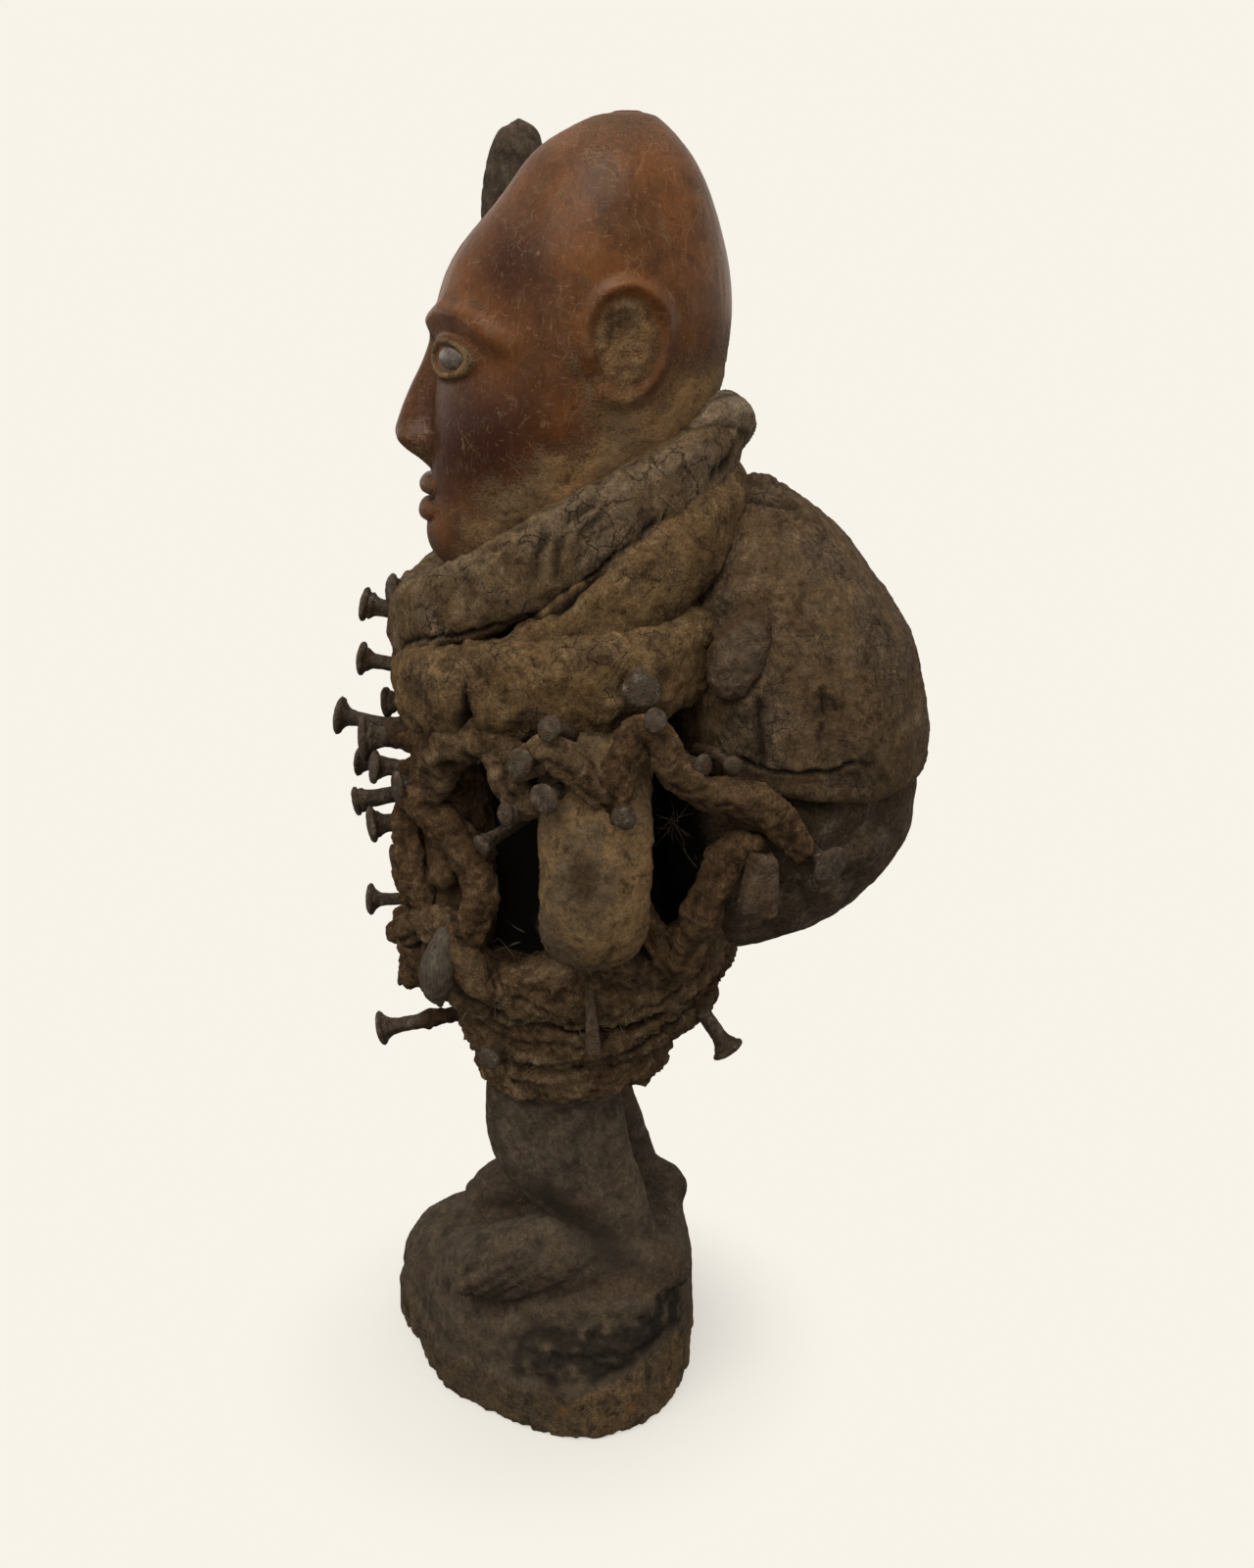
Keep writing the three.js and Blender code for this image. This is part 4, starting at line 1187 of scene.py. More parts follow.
@dataclass
class Body:
    """Trunk, arms, legs, feet and base, joined into one block and then carved.

    Attributes:
        torso: Height, front, back and the two sides.
        left_arm: x, y, z and two half widths, bent with the hand on the hip.
        right_arm: The same, raised beside the head with the fist closed.
        leg: Slices of the left leg, which the right one mirrors.
        foot: The left foot from heel to toes.
        foot_roll: How far a foot's upper side leans outwards.
        plan: The base's outline on the ground, x and y.
        steps: Height of a step of the base, and how far it is drawn in at the sides, behind and
            in front.
        rim: Height of the base's upright rim in front.
        toes: Grooves between the toes, and the toes' edge.
        ledges: Edges and steps on the base's left side.
        valley: Corners of the hollow in front, between the base's two lobes.
        pits: Small holes in the wood.
        voxel: Size of the grid that joins them.
    """

    torso: Rows = (
        (392, 5, 50, -22, 22), (365, -2, 50, -25, 25), (340, -8, 52, -28, 28), (318, -16, 56, -42, 42),
        (300, -24, 58, -46, 46), (272, -28, 58, -42, 42), (240, -30, 54, -36, 36),
        (210, -30, 55, -35, 35), (185, -27, 60, -38, 38), (160, -24, 58, -38, 38),
        (140, -18, 44, -35, 35), (128, -12, 38, -30, 30),
    )
    left_arm: Rows = (
        (26, 26, 292, 17, 20), (56, 26, 288, 17, 20), (73, 26, 268, 14, 20), (78, 26, 244, 13, 20),
        (72, 25, 223, 13.5, 19), (52, 22, 215, 12, 16), (34, 14, 213, 11, 15),
    )
    right_arm: Rows = (
        (-26, 26, 292, 17, 19), (-58, 26, 288, 16, 19), (-80, 24, 297, 15, 17), (-90, 18, 325, 13, 15),
        (-88, 9, 365, 11.5, 13), (-83, 1, 405, 10.5, 12), (-78, -5, 440, 10.5, 12),
        (-75, -7, 464, 12.5, 13.5), (-74, -6, 483, 12, 12), (-74, -5, 496, 8, 8), (-74, -5, 499, 3, 3),
    )
    leg: Rows = (
        (150, -19, 34, 4, 43), (133, -19, 35, 7, 43), (119, -19, 37, 10, 45), (106, -15, 40, 12, 45),
        (94, -6, 44, 14, 44), (80, 5, 48, 17, 42), (66, 10, 52, 19, 41), (50, 8, 55, 20, 40),
    )
    foot: Rows = (
        (30, 60, 57, 8, 6), (30, 53, 59, 12, 11), (31, 32, 62, 14, 17), (31, 10, 63, 14.5, 21),
        (30, -6, 60, 15.5, 18), (28, -19, 58, 16, 13), (27, -30, 55, 13.5, 8),
    )
    foot_roll: float = 0.3
    plan: Rows = (
        (66, 17), (61, 36), (49, 50), (30, 60), (8, 64), (-16, 65), (-40, 60), (-58, 45), (-66, 20),
        (-64, -10), (-55, -38), (-38, -61), (-17, -62), (2, -53), (17, -47), (33, -38), (47, -20),
        (59, -2),
    )
    steps: Rows = (
        (0, 1, 1, 1), (18, 1, 1, 1), (34, 0.87, 0.99, 0.95), (47, 0.69, 0.95, 0.84),
        (53, 0.54, 0.87, 0.73), (56, 0.3, 0.6, 0.5),
    )
    rim: float = 18
    toes: tuple[Line, ...] = (
        Line(((-29, 60), (-19, 65.7), (-10, 70)), 1.0, 1.5, jag=0.25, groove_shade=0.5),
        Line(((-27, 52), (-17, 60), (-9, 65.5)), 1.0, 1.5, jag=0.25, groove_shade=0.5),
        Line(((-22, 50), (-11.6, 59), (-4.6, 66)), 1.0, 1.5, jag=0.25, groove_shade=0.5),
        Line(((-18, 48.5), (-10.4, 54.5), (-4.4, 59.5)), 0.9, 1.3, jag=0.25, groove_shade=0.4),
        Line(((-30, 62), (-26, 50), (-19.5, 43), (-14, 42)), 1.6, 1.4, jag=0.4, groove_shade=0.3),
    )
    ledges: tuple[Line, ...] = (
        Line(((-14, 43), (-4, 49), (8, 55.5), (21, 67)), 1.7, 1.2, jag=0.5, groove_shade=0.3, hand=LEFT),
        Line(((-40, 38), (-29, 37), (-19, 40), (-6, 43)), 2.4, 0.9, jag=1.2, hand=LEFT),
        Line(((-6, 42), (14, 45.6), (30, 48.5), (43, 47.5)), 1.2, 1.3, jag=1.0, groove_shade=0.3, hand=LEFT),
        Line(((6, 47.5), (26, 53), (48, 56)), 1.0, 0.9, jag=1.0, hand=LEFT),
        Line(((-6, 31), (14, 32.6), (33, 34.4), (53, 35)), 1.4, 1.2, jag=1.3, groove_shade=0.3, hand=LEFT),
    )
    valley: Rows = (
        (34, -50, 8), (32, -47, 19), (29, -44.5, 31), (23, -40, 39), (14, -31, 47), (8, -20, 54),
    )
    pits: Rows = ((-5, -22.2, 52.3), (-10, -18, 64.8), (24, -27.9, 40.3))
    voxel: float = 1.6

    def _mirrored(self, rows: Rows) -> Rows:
        """A bar's rows on the other side of the body."""
        return [(-row[0], *row[1:]) for row in rows]

    def _base(self) -> Skin:
        """The base: an upright rim and a mound that is highest behind the heels.

        Formula: the outline, a smooth curve through the plan, is drawn in at each height by a
        share that goes smoothly from the sides' to the rear's or the front's.

        Returns:
            The surface.
        """
        steps = np.asarray(self.steps, float)
        heights = np.concatenate([np.linspace(0, self.rim, 12), np.linspace(self.rim + 1, 56, 30)])
        side, rear, fore = (np.interp(heights, steps[:, 0], steps[:, k])[:, None] for k in (1, 2, 3))
        x, y = glide([*self.plan, self.plan[0]], np.linspace(0, 1, 220, endpoint=False)).T
        back, ahead = ease(y, 10, 55), ease(-y, 5, 45)
        share = np.where(y > 0, side + (rear - side) * back, side + (fore - side) * ahead)
        rise = np.where(heights[:, None] > self.rim, 1 + 0.16 * back * (y > 0), 1)
        rings = np.stack([x * share, y * share, heights[:, None] * rise], -1)
        centre = np.zeros((1, rings.shape[1], 3))
        floor, top = centre, centre + [0, 0, heights[-1]]
        return Skin(np.concatenate([floor, rings, top]))

    def _rim_top(self, points: Array) -> Array:
        """Height of the base's upright rim, which rises towards the rear on the left."""
        x, y, _ = points.T
        return self.rim + 13 * ease(y, 8, 60) * ease(x, 16, 40)

    def _carve(self, points: Array) -> tuple[Array, Array]:
        """How far the knife, the fire and wear moved each point of the joined block.

        Formula: bells beside the lines of toes, ledges and cracks, bells across the fingers,
        upright flutes on the rim, and crumbs of noise where wood is burnt or covered with earth.

        Args:
            points: The block's points.

        Returns:
            The depth in millimetres, below 0 where wood is gone, and the painted shade in the lines.
        """
        x, y, z = points.T
        on_foot = ease(y, 2, -6) + 1 - ease(z, 60, 72)
        toes, toe_shade = carve_all(points, self.toes)
        lines, ledge_shade = carve_all(points, self.ledges)
        fingers = sum(ridge(z - height, 1.0) for height in (462, 469, 476, 483))
        finger_part = ease(-x, 60, 66) * ease(-y, 2, 8) * ease(z, 455, 460)
        thumb = ridge(from_path(points, ((-86, -8, 456), (-86, -2, 474), (-80, -2, 486))), 1.3)
        rim_part = 1 - ease(z - self._rim_top(points), -2, 3)
        flutes = GRAIN.waves(points, (4.5, 4.5, 60), 2.5) - 0.9 * ease(
            GRAIN.waves(points, (2.2, 2.2, 26), 6.5), 0.1, 0.7,
        )
        under_edge = ridge(z - self._rim_top(points) - 4, 3.4)
        char = self._char(points)
        wander = z - 0.1 * y + 1.2 * GRAIN.waves(points, 12, 9.1)
        layers = (wander / 3.8) % 1.0
        crumbs = GRAIN.rough(points, 3.2, 3, 4.9)
        crack = from_path(points[:, 1:], ((21.5, 7), (22, 12), (20.5, 22), (22, 30))) + 12 * (x < 40)
        valley = ridge(from_path(points, self.valley), 3.2)
        pits = sum(ridge(np.linalg.norm(points - np.array(pit), axis=1), 1.6) for pit in self.pits)
        adze = GRAIN.waves(points, (10, 10, 20), 7.3)
        scratches = GRAIN.waves(points, (1.6, 1.6, 12), 5.5)
        seen = 0.3 + 0.7 * ease(-x, 72, 80)
        depth = np.clip(on_foot, 0, 1) * toes + lines - (fingers * finger_part + 0.8 * thumb) * seen
        depth += rim_part * 1.0 * flutes - 1.3 * under_edge * (1 - ease(y, 50, 62)) - 3.0 * valley
        burnt = 0.7 * (layers - 0.6) + 1.3 * crumbs + 0.4 * GRAIN.waves(points, 1.8, 2.9)
        depth += char * burnt - 1.6 * pits
        smooth = 1 - 0.75 * ease(-x, 58, 66) * ease(z, 340, 360)
        depth += 0.55 * adze * (1 - char) * smooth + 0.14 * scratches
        depth += 0.25 * GRAIN.rough(points, 5, 3, 1.4) * smooth
        depth -= 1.3 * ridge(crack, 0.8)
        arm = self._arm(points)
        depth += arm * (0.6 * GRAIN.rough(points, 7, 4, 1.9) + 0.3 * GRAIN.waves(points, 2, 3.3))
        edge = arm * ease(y, 34, 44) * GRAIN.rough(points, 4, 3, 8.3)
        return depth + 0.4 * edge, np.maximum(toe_shade, ledge_shade)

    def _char(self, points: Array) -> Array:
        """How burnt the base is: on its left side, between the rim and the foot's edge."""
        x, y, z = points.T
        top = np.interp(y, (-20, 0, 14, 30, 48, 60), (36, 41, 44, 47, 54, 56))
        band = ease(z - self._rim_top(points), -3, 9) * (1 - ease(z - top, -6, 5))
        blotch = 0.8 + 0.9 * GRAIN.rough(points, 7, 5, 6.6)
        return np.clip(band * blotch, 0, 1) * ease(x, 20, 38) * ease(y, -30, 6) * (1 - ease(y, 62, 68))

    def _arm(self, points: Array) -> Array:
        """Where the left arm is, which earth covers."""
        x, _, z = points.T
        return ease(x, 46, 56) * ease(z, 198, 206) * (1 - ease(z, 292, 300))

    def _layers(self, points: Array, groove_shade: Array) -> dict[str, Array]:
        """Where earth, char and bare wood lie on the block, and where shade and a highlight are painted
        on it.
        """
        x, y, z = points.T
        # Painted shade: the trunk between hips and collar, which lies in the dark hollows beside the arm.
        painted_shade = ease(z, 186, 200) * (1 - ease(z, 306, 330)) * (1 - ease(np.abs(x), 44, 54))
        worn = sum(1.0 * ridge(np.hypot(y - at, z - up), 3.8) for at, up in ((11.7, 12.3), (38.9, 10.8)))
        arm = self._arm(points)
        oval = ridge(np.hypot((y - 22) / 0.75, (z - 250) / 1.5), 8.5) * arm
        hem = ridge(np.hypot(y - 26, z - 208), 10) * 0.7
        low = 1 - ease(z, 74, 92)
        flute = ease(GRAIN.waves(points, (2.2, 2.2, 26), 6.5), 0.1, 0.7)
        rim = (1 - ease(z - self._rim_top(points), -1, 3)) * (0.65 + 0.2 * ease(y, 0, 24))
        earth = np.maximum(arm * 1.1, np.maximum(0.2 * low, rim * 0.6))
        above = ridge(z - np.interp(y, (0, 20, 50), (52, 58, 60)), 7) * ease(y, 0, 16) * ease(x, 26, 40)
        far_red = ridge(np.hypot(y + 21, z - 73), 9) * ease(-x, -2, 6)
        ankle = ridge(from_path(points[:, 1:], ((4, 100), (20, 84), (33, 70))), 9) * ease(x, 14, 24)
        chip = ridge(np.hypot((y - 32) / 2.4, z - 88), 0.8) * ease(x, 24, 34)
        valley = ridge(from_path(points, self.valley), 4.5)
        return {
            # Painted shade on the trunk, less where the arm is, and in the grooves of the lines.
            "painted_shade": np.maximum(painted_shade * (1 - arm), 0.8 * groove_shade),
            "char": np.maximum.reduce([0.95 * self._char(points), 0.62 * ankle, 0.6 * valley]),
            "worn": np.maximum(worn * ease(x, 30, 44), chip), "earth": earth,
            # Painted highlight on the bulge at the back of the left leg.
            "pale_and_painted_highlight": 0.3 * ridge(np.hypot((y - 42) / 0.8, (z - 108) / 1.5), 16) * ease(x, 8, 20),
            "rust": np.maximum(0.55 * above, 0.5 * far_red) + 0.25 * rim,
            # A dark oval stain and a dark patch at the arm's lower end, and painted shade in the flutes
            # of the rim.
            "stain_and_painted_shade": np.clip(0.85 * oval + 0.6 * hem * arm + 0.5 * rim * flute, 0, 0.9),
        }

    def make(self) -> None:
        """Joins the limbs, carves the block and stores its layers."""
        right_leg = [(z, front, back, -inner, -outer) for z, front, back, inner, outer in self.leg]
        skins = [
            column(self.torso, 120, 90, cap=2), bar(self.left_arm, (0, 1, 0), 90, 60, cap=3),
            bar(self.right_arm, (0, 1, 0), 150, 60, cap=2), column(self.leg, 70, 60, cap=2),
            column(right_leg, 70, 60, cap=2), bar(self.foot, (self.foot_roll, 0, 1), 80, 60, cap=3),
            bar(self._mirrored(self.foot), (-self.foot_roll, 0, 1), 80, 60, cap=3), self._base(),
        ]
        mesh = fused("body_carved", skins, self.voxel, smoothing=5)
        depth, groove_shade = self._carve(read_mesh(mesh)[0])
        points = push_mesh(mesh, depth, floor=0)
        paint(mesh, self._layers(points, groove_shade))
        dress("body_carved", mesh, BODY_WOOD, ["figure"])


# Cloth round the neck and crust round the hips


@dataclass
class Wrap:
    """A turn of cloth or a crusted roll round the body.

    Attributes:
        node: The CAD node that it stands for.
        finish: What it is made of.
        half_x: Half width of the ring's middle line.
        front: Its foremost y.
        back: Its rearmost y.
        low: Its height in front.
        high: Its height behind.
        thick: Half thickness outwards.
        tall: Half height in front.
        side_tall: Half height at the sides.
        back_tall: Half height behind.
        square: 1 for an ellipse from above, and less for a squarer ring.
        flat: The same for the section, whose outer face is flattened by winding.
        lump: Height of the large lumps.
        crumb: Height of the crumbs.
        ragged: How far the lower edge hangs unevenly.
        folds: Height of the folds that run along the ring.
        slant: How steeply the folds cross it.
        lines: Creases and cracks on the flanks.
        around: How many points go round the body.
        section: How many points go round the roll.
    """

    node: str
    finish: Finish
    half_x: float
    front: float
    back: float
    low: float
    high: float
    thick: float
    tall: float
    side_tall: float
    back_tall: float
    square: float = 0.9
    flat: float = 0.72
    lump: float = 1.2
    crumb: float = 0.6
    ragged: float = 0.0
    folds: float = 0.0
    slant: float = 2.2
    lines: tuple[Line, ...] = ()
    around: int = 300
    section: int = 76

    def surface(self) -> Skin:
        """The smooth roll.

        Formula: the middle line is an oval whose height goes from low in front to high behind,
        and the section is an oval of the thickness outwards and the height at that place upwards.

        Returns:
            The surface.
        """
        turn = turns(self.around)[:, None]
        roll = turns(self.section)[None, :]
        aft = np.sin(turn)
        ends = np.where(aft < 0, self.tall, self.back_tall)
        height = ends + (self.side_tall - ends) * np.cos(turn) ** 2
        out = self.thick * np.sign(np.cos(roll)) * np.abs(np.cos(roll)) ** self.flat
        rise = np.sign(np.sin(roll)) * np.abs(np.sin(roll)) ** self.flat
        across = np.sign(np.cos(turn)) * np.abs(np.cos(turn)) ** self.square
        along = np.sign(aft) * np.abs(aft) ** self.square
        middle, half = (self.front + self.back) / 2, (self.back - self.front) / 2
        x = (self.half_x + out) * across
        y = middle + (half + out) * along
        z = self.low + (self.high - self.low) * (aft + 1) / 2 + height * rise
        return Skin(np.stack([x, y, z], -1), ring=True)

    def relief(self, skin: Skin) -> tuple[Array, Array]:
        """Lumps, crumbs, folds, the uneven lower edge and the lines.

        Formula: noise of three sizes; folds are waves of the roll's angle that drift as they go
        round; the lower edge adds slow noise where the roll's angle points down.

        Args:
            skin: The smooth roll.

        Returns:
            The depth in millimetres and the painted shade of the lines.
        """
        p = skin.points
        turn = turns(self.around)[:, None]
        roll = turns(self.section)[None, :]
        depth = self.lump * GRAIN.waves(p, 13, self.low * 0.37)
        depth += self.crumb * GRAIN.rough(p, 4.2, 4, self.high * 0.21)
        pits = GRAIN.waves(p, 2.2, 6.6)
        depth -= self.crumb * 0.8 * ease(pits, 0.35, 0.8)
        drift = 3 * roll + self.slant * turn + 1.3 * GRAIN.waves(p, 26, 1.1)
        depth += self.folds * (1 - np.abs(np.sin(drift))) ** 2 * ease(GRAIN.waves(p, 30, 2.9), -0.3, 0.4)
        hang = np.clip(-np.sin(roll), 0, 1) ** 2
        depth += self.ragged * hang * GRAIN.rough(p, 11, 3, 4.7)
        carved, groove_shade = carve_all(p, self.lines)
        return depth + carved, groove_shade

    def make(self) -> None:
        """Builds the roll with its relief."""
        skin = self.surface()
        depth, groove_shade = self.relief(skin)
        skin.push(depth)
        # Painted shade on the roll's lower side, below its middle.
        under = ease(-(skin.points[..., 2] - skin.points[..., 2].mean(1, keepdims=True)), 4, 14)
        # Painted shade in the lines and hollows and on the lower side, and paler raised lumps.
        skin.layers = {
            "painted_shade": groove_shade, "pale_and_painted_highlight": 0.35 * ease(depth, 0.8, 2.4),
            "stain_and_painted_shade": 0.5 * ease(-depth, 0.9, 2.2) + 0.25 * under,
        }
        dress_skin(self.node + "_wound", skin, self.finish, self.node)


# The collar's split, with painted shade inside it.
SPLIT = Line(
    (
        (-44, 318), (-37, 322), (-14, 328), (4, 334), (15, 339), (34, 356), (50, 368), (66, 378),
        (76, 386),
    ),
    width=0.7, depth=2.3, jag=1.1, groove_shade=1.0,
)
SPLIT_HOLE = Line(((13, 337), (17, 341)), width=1.9, depth=3.5, jag=0.3, groove_shade=1.0)

WRAPS = (
    Wrap(
        "collar_upper_wrap", GREY_CLOTH, 46, -38, 64, 321, 386, 14, 15, 17, 12, lump=0.7, crumb=0.35,
        flat=0.55, folds=1.2, slant=-11,
        lines=(
            SPLIT, SPLIT_HOLE, Line(((10, 362), (6, 354), (6, 345)), 1.2, 1.6, lip=0.7, groove_shade=0.3),
            Line(((26, 373), (17, 367), (13, 356), (13, 348)), 1.3, 2.0, lip=0.8, groove_shade=0.35),
            Line(((30, 372), (22, 362), (20, 352)), 0.9, 1.1, lip=0.6, groove_shade=0.2),
            Line(((-22, 350), (-16, 342), (-18, 332)), 1.2, 1.2, lip=0.6),
            Line(((-8, 356), (0, 348), (2, 338)), 1.6, 1.0, lip=0.5),
            Line(((47, 390), (46, 380), (46, 370)), 0.8, 0.9, lip=0.4),
            Line(((-32, 346), (-22, 352), (-4, 358)), 0.7, 0.8, lip=0.6),
            Line(((-30, 340), (-26, 334), (-28, 326)), 0.9, 0.9, lip=0.5),
        ),
    ),
    Wrap(
        "collar_middle_wrap", OCHRE_CLOTH, 53, -22, 68, 291, 365, 14, 12, 20, 16, lump=1.3, crumb=0.55,
        folds=0.5,
        lines=(
            SPLIT, SPLIT_HOLE, Line(((58, 318), (66, 336), (74, 352)), 1.3, 1.6, lip=0.4, groove_shade=0.7),
            Line(((20, 330), (34, 333), (50, 328)), 0.9, 0.8, lip=0.5),
        ),
    ),
    Wrap(
        "collar_lower_wrap", OCHRE_CLOTH, 60, -35, 62, 303, 319, 16, 15, 18, 18, square=0.8, lump=1.7,
        crumb=0.8, ragged=4.2, folds=0.7, around=320, section=80,
        lines=(
            Line(((-19, 313), (-19, 305)), 0.7, 2.6, jag=0.5, groove_shade=1.0, hand=LEFT),
            Line(((-19, 307), (-18.5, 296)), 1.5, 3.6, jag=0.5, groove_shade=1.0, hand=LEFT),
            Line(((-19, 301), (-18, 292)), 2.8, 4.2, jag=0.6, groove_shade=1.0, hand=LEFT),
            Line(((-30, 327), (-18, 321), (-10, 313)), 1.0, 1.3, lip=0.6),
            Line(((-2, 324), (8, 319), (14, 310)), 0.9, 1.1, lip=0.6),
            Line(((18, 333), (30, 333), (48, 332)), 0.9, 1.0, lip=0.5),
            Line(((24, 324), (30, 316), (30, 308)), 0.8, 0.8, lip=0.5),
        ),
    ),
)


@dataclass
class HipCrust:
    """The crust round the hips: three wound rolls that mud has made one mass, with two cracks.

    Attributes:
        rolls: The rolls, from the top down.
        cracks: The cracks, and the creases beside them.
        cords: Strips that stand out of the crust.
        voxel: Size of the grid that joins the rolls.
    """

    rolls: tuple[Wrap, ...] = (
        Wrap("hip_wrap_upper", HIP_CRUST, 50, -27, 70, 184, 197, 11, 13, 12, 13, flat=0.6),
        Wrap("hip_wrap_lower", HIP_CRUST, 46, -21, 64, 164, 176, 10, 10, 10, 10, flat=0.6),
        Wrap("hip_band", HIP_CRUST, 43, -15, 47, 147, 153, 9, 8, 8, 8, square=0.8, flat=0.6),
    )
    cracks: tuple[Line, ...] = (
        Line(
            ((-38, 184), (-29, 186), (-14, 183), (2, 178), (14, 175), (37, 176), (59, 183), (74, 190)),
            1.0, 3.2, jag=1.6, lip=0.5, groove_shade=1.0,
        ),
        Line(
            ((-24, 156), (-19, 157), (8, 160), (22, 161), (37, 165), (59, 176), (72, 181)), 0.9, 3.0,
            jag=1.3, lip=0.5, groove_shade=1.0,
        ),
        Line(((-20, 170), (-6, 168), (10, 170), (20, 168)), 0.8, 1.2, jag=2.0, lip=0.6, groove_shade=0.3),
        Line(((24, 200), (40, 192), (58, 196), (70, 204)), 1.6, 1.6, jag=2.0, lip=0.5, groove_shade=0.3),
        Line(((-34, 196), (-18, 194), (-4, 190), (8, 184)), 1.2, 1.6, jag=2.0, lip=0.6, groove_shade=0.4),
        Line(((40, 186), (52, 188), (66, 196)), 0.9, 1.4, jag=1.6, lip=0.4, groove_shade=0.5),
    )
    cords: tuple[Line, ...] = (
        Line(((-24, 187), (-8, 191), (6, 199), (20, 203)), 1.8, -2.2, jag=0.8),
        Line(((-4, 182), (6, 189), (14, 198), (20, 206)), 1.3, -1.8, jag=0.8),
        Line(((30, 178), (44, 184), (60, 188)), 1.6, -1.6, jag=1.2),
        Line(((-30, 176), (-14, 172), (2, 170)), 1.6, -1.4, jag=1.2),
        Line(((16, 166), (34, 170), (48, 176)), 1.4, -1.3, jag=1.2),
        Line(((-14, 152), (6, 152), (22, 156)), 1.3, -1.2, jag=1.0),
    )
    voxel: float = 1.3

    def make(self) -> None:
        """Joins the rolls, and gives the mass its cracks, crumbs and ragged lower edge."""
        mesh = fused("hip_crust_wound", [roll.surface() for roll in self.rolls], self.voxel, smoothing=6)
        points, _ = read_mesh(mesh)
        depth = 1.2 * GRAIN.waves(points, 14, 1.3) + 1.2 * GRAIN.rough(points, (5, 5, 3.6), 4, 5.9)
        depth += 0.45 * GRAIN.waves(points, 1.9, 3.8)
        cords, _ = carve_all(points, self.cords)
        depth += cords
        pits = ease(GRAIN.waves(points, 4, 7.4), 0.35, 0.85)
        depth -= 1.5 * pits
        hem = 1 - ease(points[:, 2], 142, 150)
        depth += hem * 2.2 * GRAIN.rough(points, 6, 3, 2.2)
        carved, groove_shade = carve_all(points, self.cracks)
        push_mesh(mesh, depth + carved)
        # Painted shade in hollows, pits and cracks, and paler raised places.
        paint(
            mesh,
            {
                "stain_and_painted_shade": 0.6 * ease(-depth, 0.5, 2.2) + 0.25 * pits,
                "painted_shade": np.maximum(groove_shade, 0.5 * ease(-depth, 2.0, 3.6)),
                "pale_and_painted_highlight": 0.45 * ease(depth, 0.8, 2.6),
            },
        )
        dress("hip_crust_wound", mesh, HIP_CRUST, [roll.node for roll in self.rolls])


@dataclass
class Knot:
    """The collar's knotted end, which sticks up at the nape.

    Attributes:
        rows: x, y, z and two half widths along the roll of cloth.
        turns: How often the cloth's folds wind round it.
    """

    rows: Rows = (
        (24, 60, 392, 5, 5), (16, 69, 397, 8, 8), (4, 74, 395, 9.5, 9.5), (-10, 72, 388, 9, 9),
        (-20, 66, 382, 6, 6),
    )
    turns: float = 1.2

    def make(self) -> None:
        """A roll whose folds wind round it like rope."""
        skin = bar(self.rows, (0, 1, 0), 90, 80, cap=3)
        rows, columns = skin.points.shape[:2]
        along = np.linspace(0, 1, rows)[:, None]
        turn = turns(columns)[None, :]
        wind = 2 * turn + self.turns * FULL_TURN * along + 0.8 * GRAIN.waves(skin.points, 12, 5.7)
        folds = 1 - np.abs(np.sin(wind))
        skin.push(1.3 * folds**1.5 - 0.6 + 0.4 * GRAIN.rough(skin.points, 5, 3, 7.1))
        # Painted shade in the creases between the folds.
        skin.layers = {"stain_and_painted_shade": 0.6 * ease(-folds, -0.12, 0)}
        dress_skin("collar_knot_tied", skin, KNOT_CLOTH, "collar_knot")


# The bundle on the back


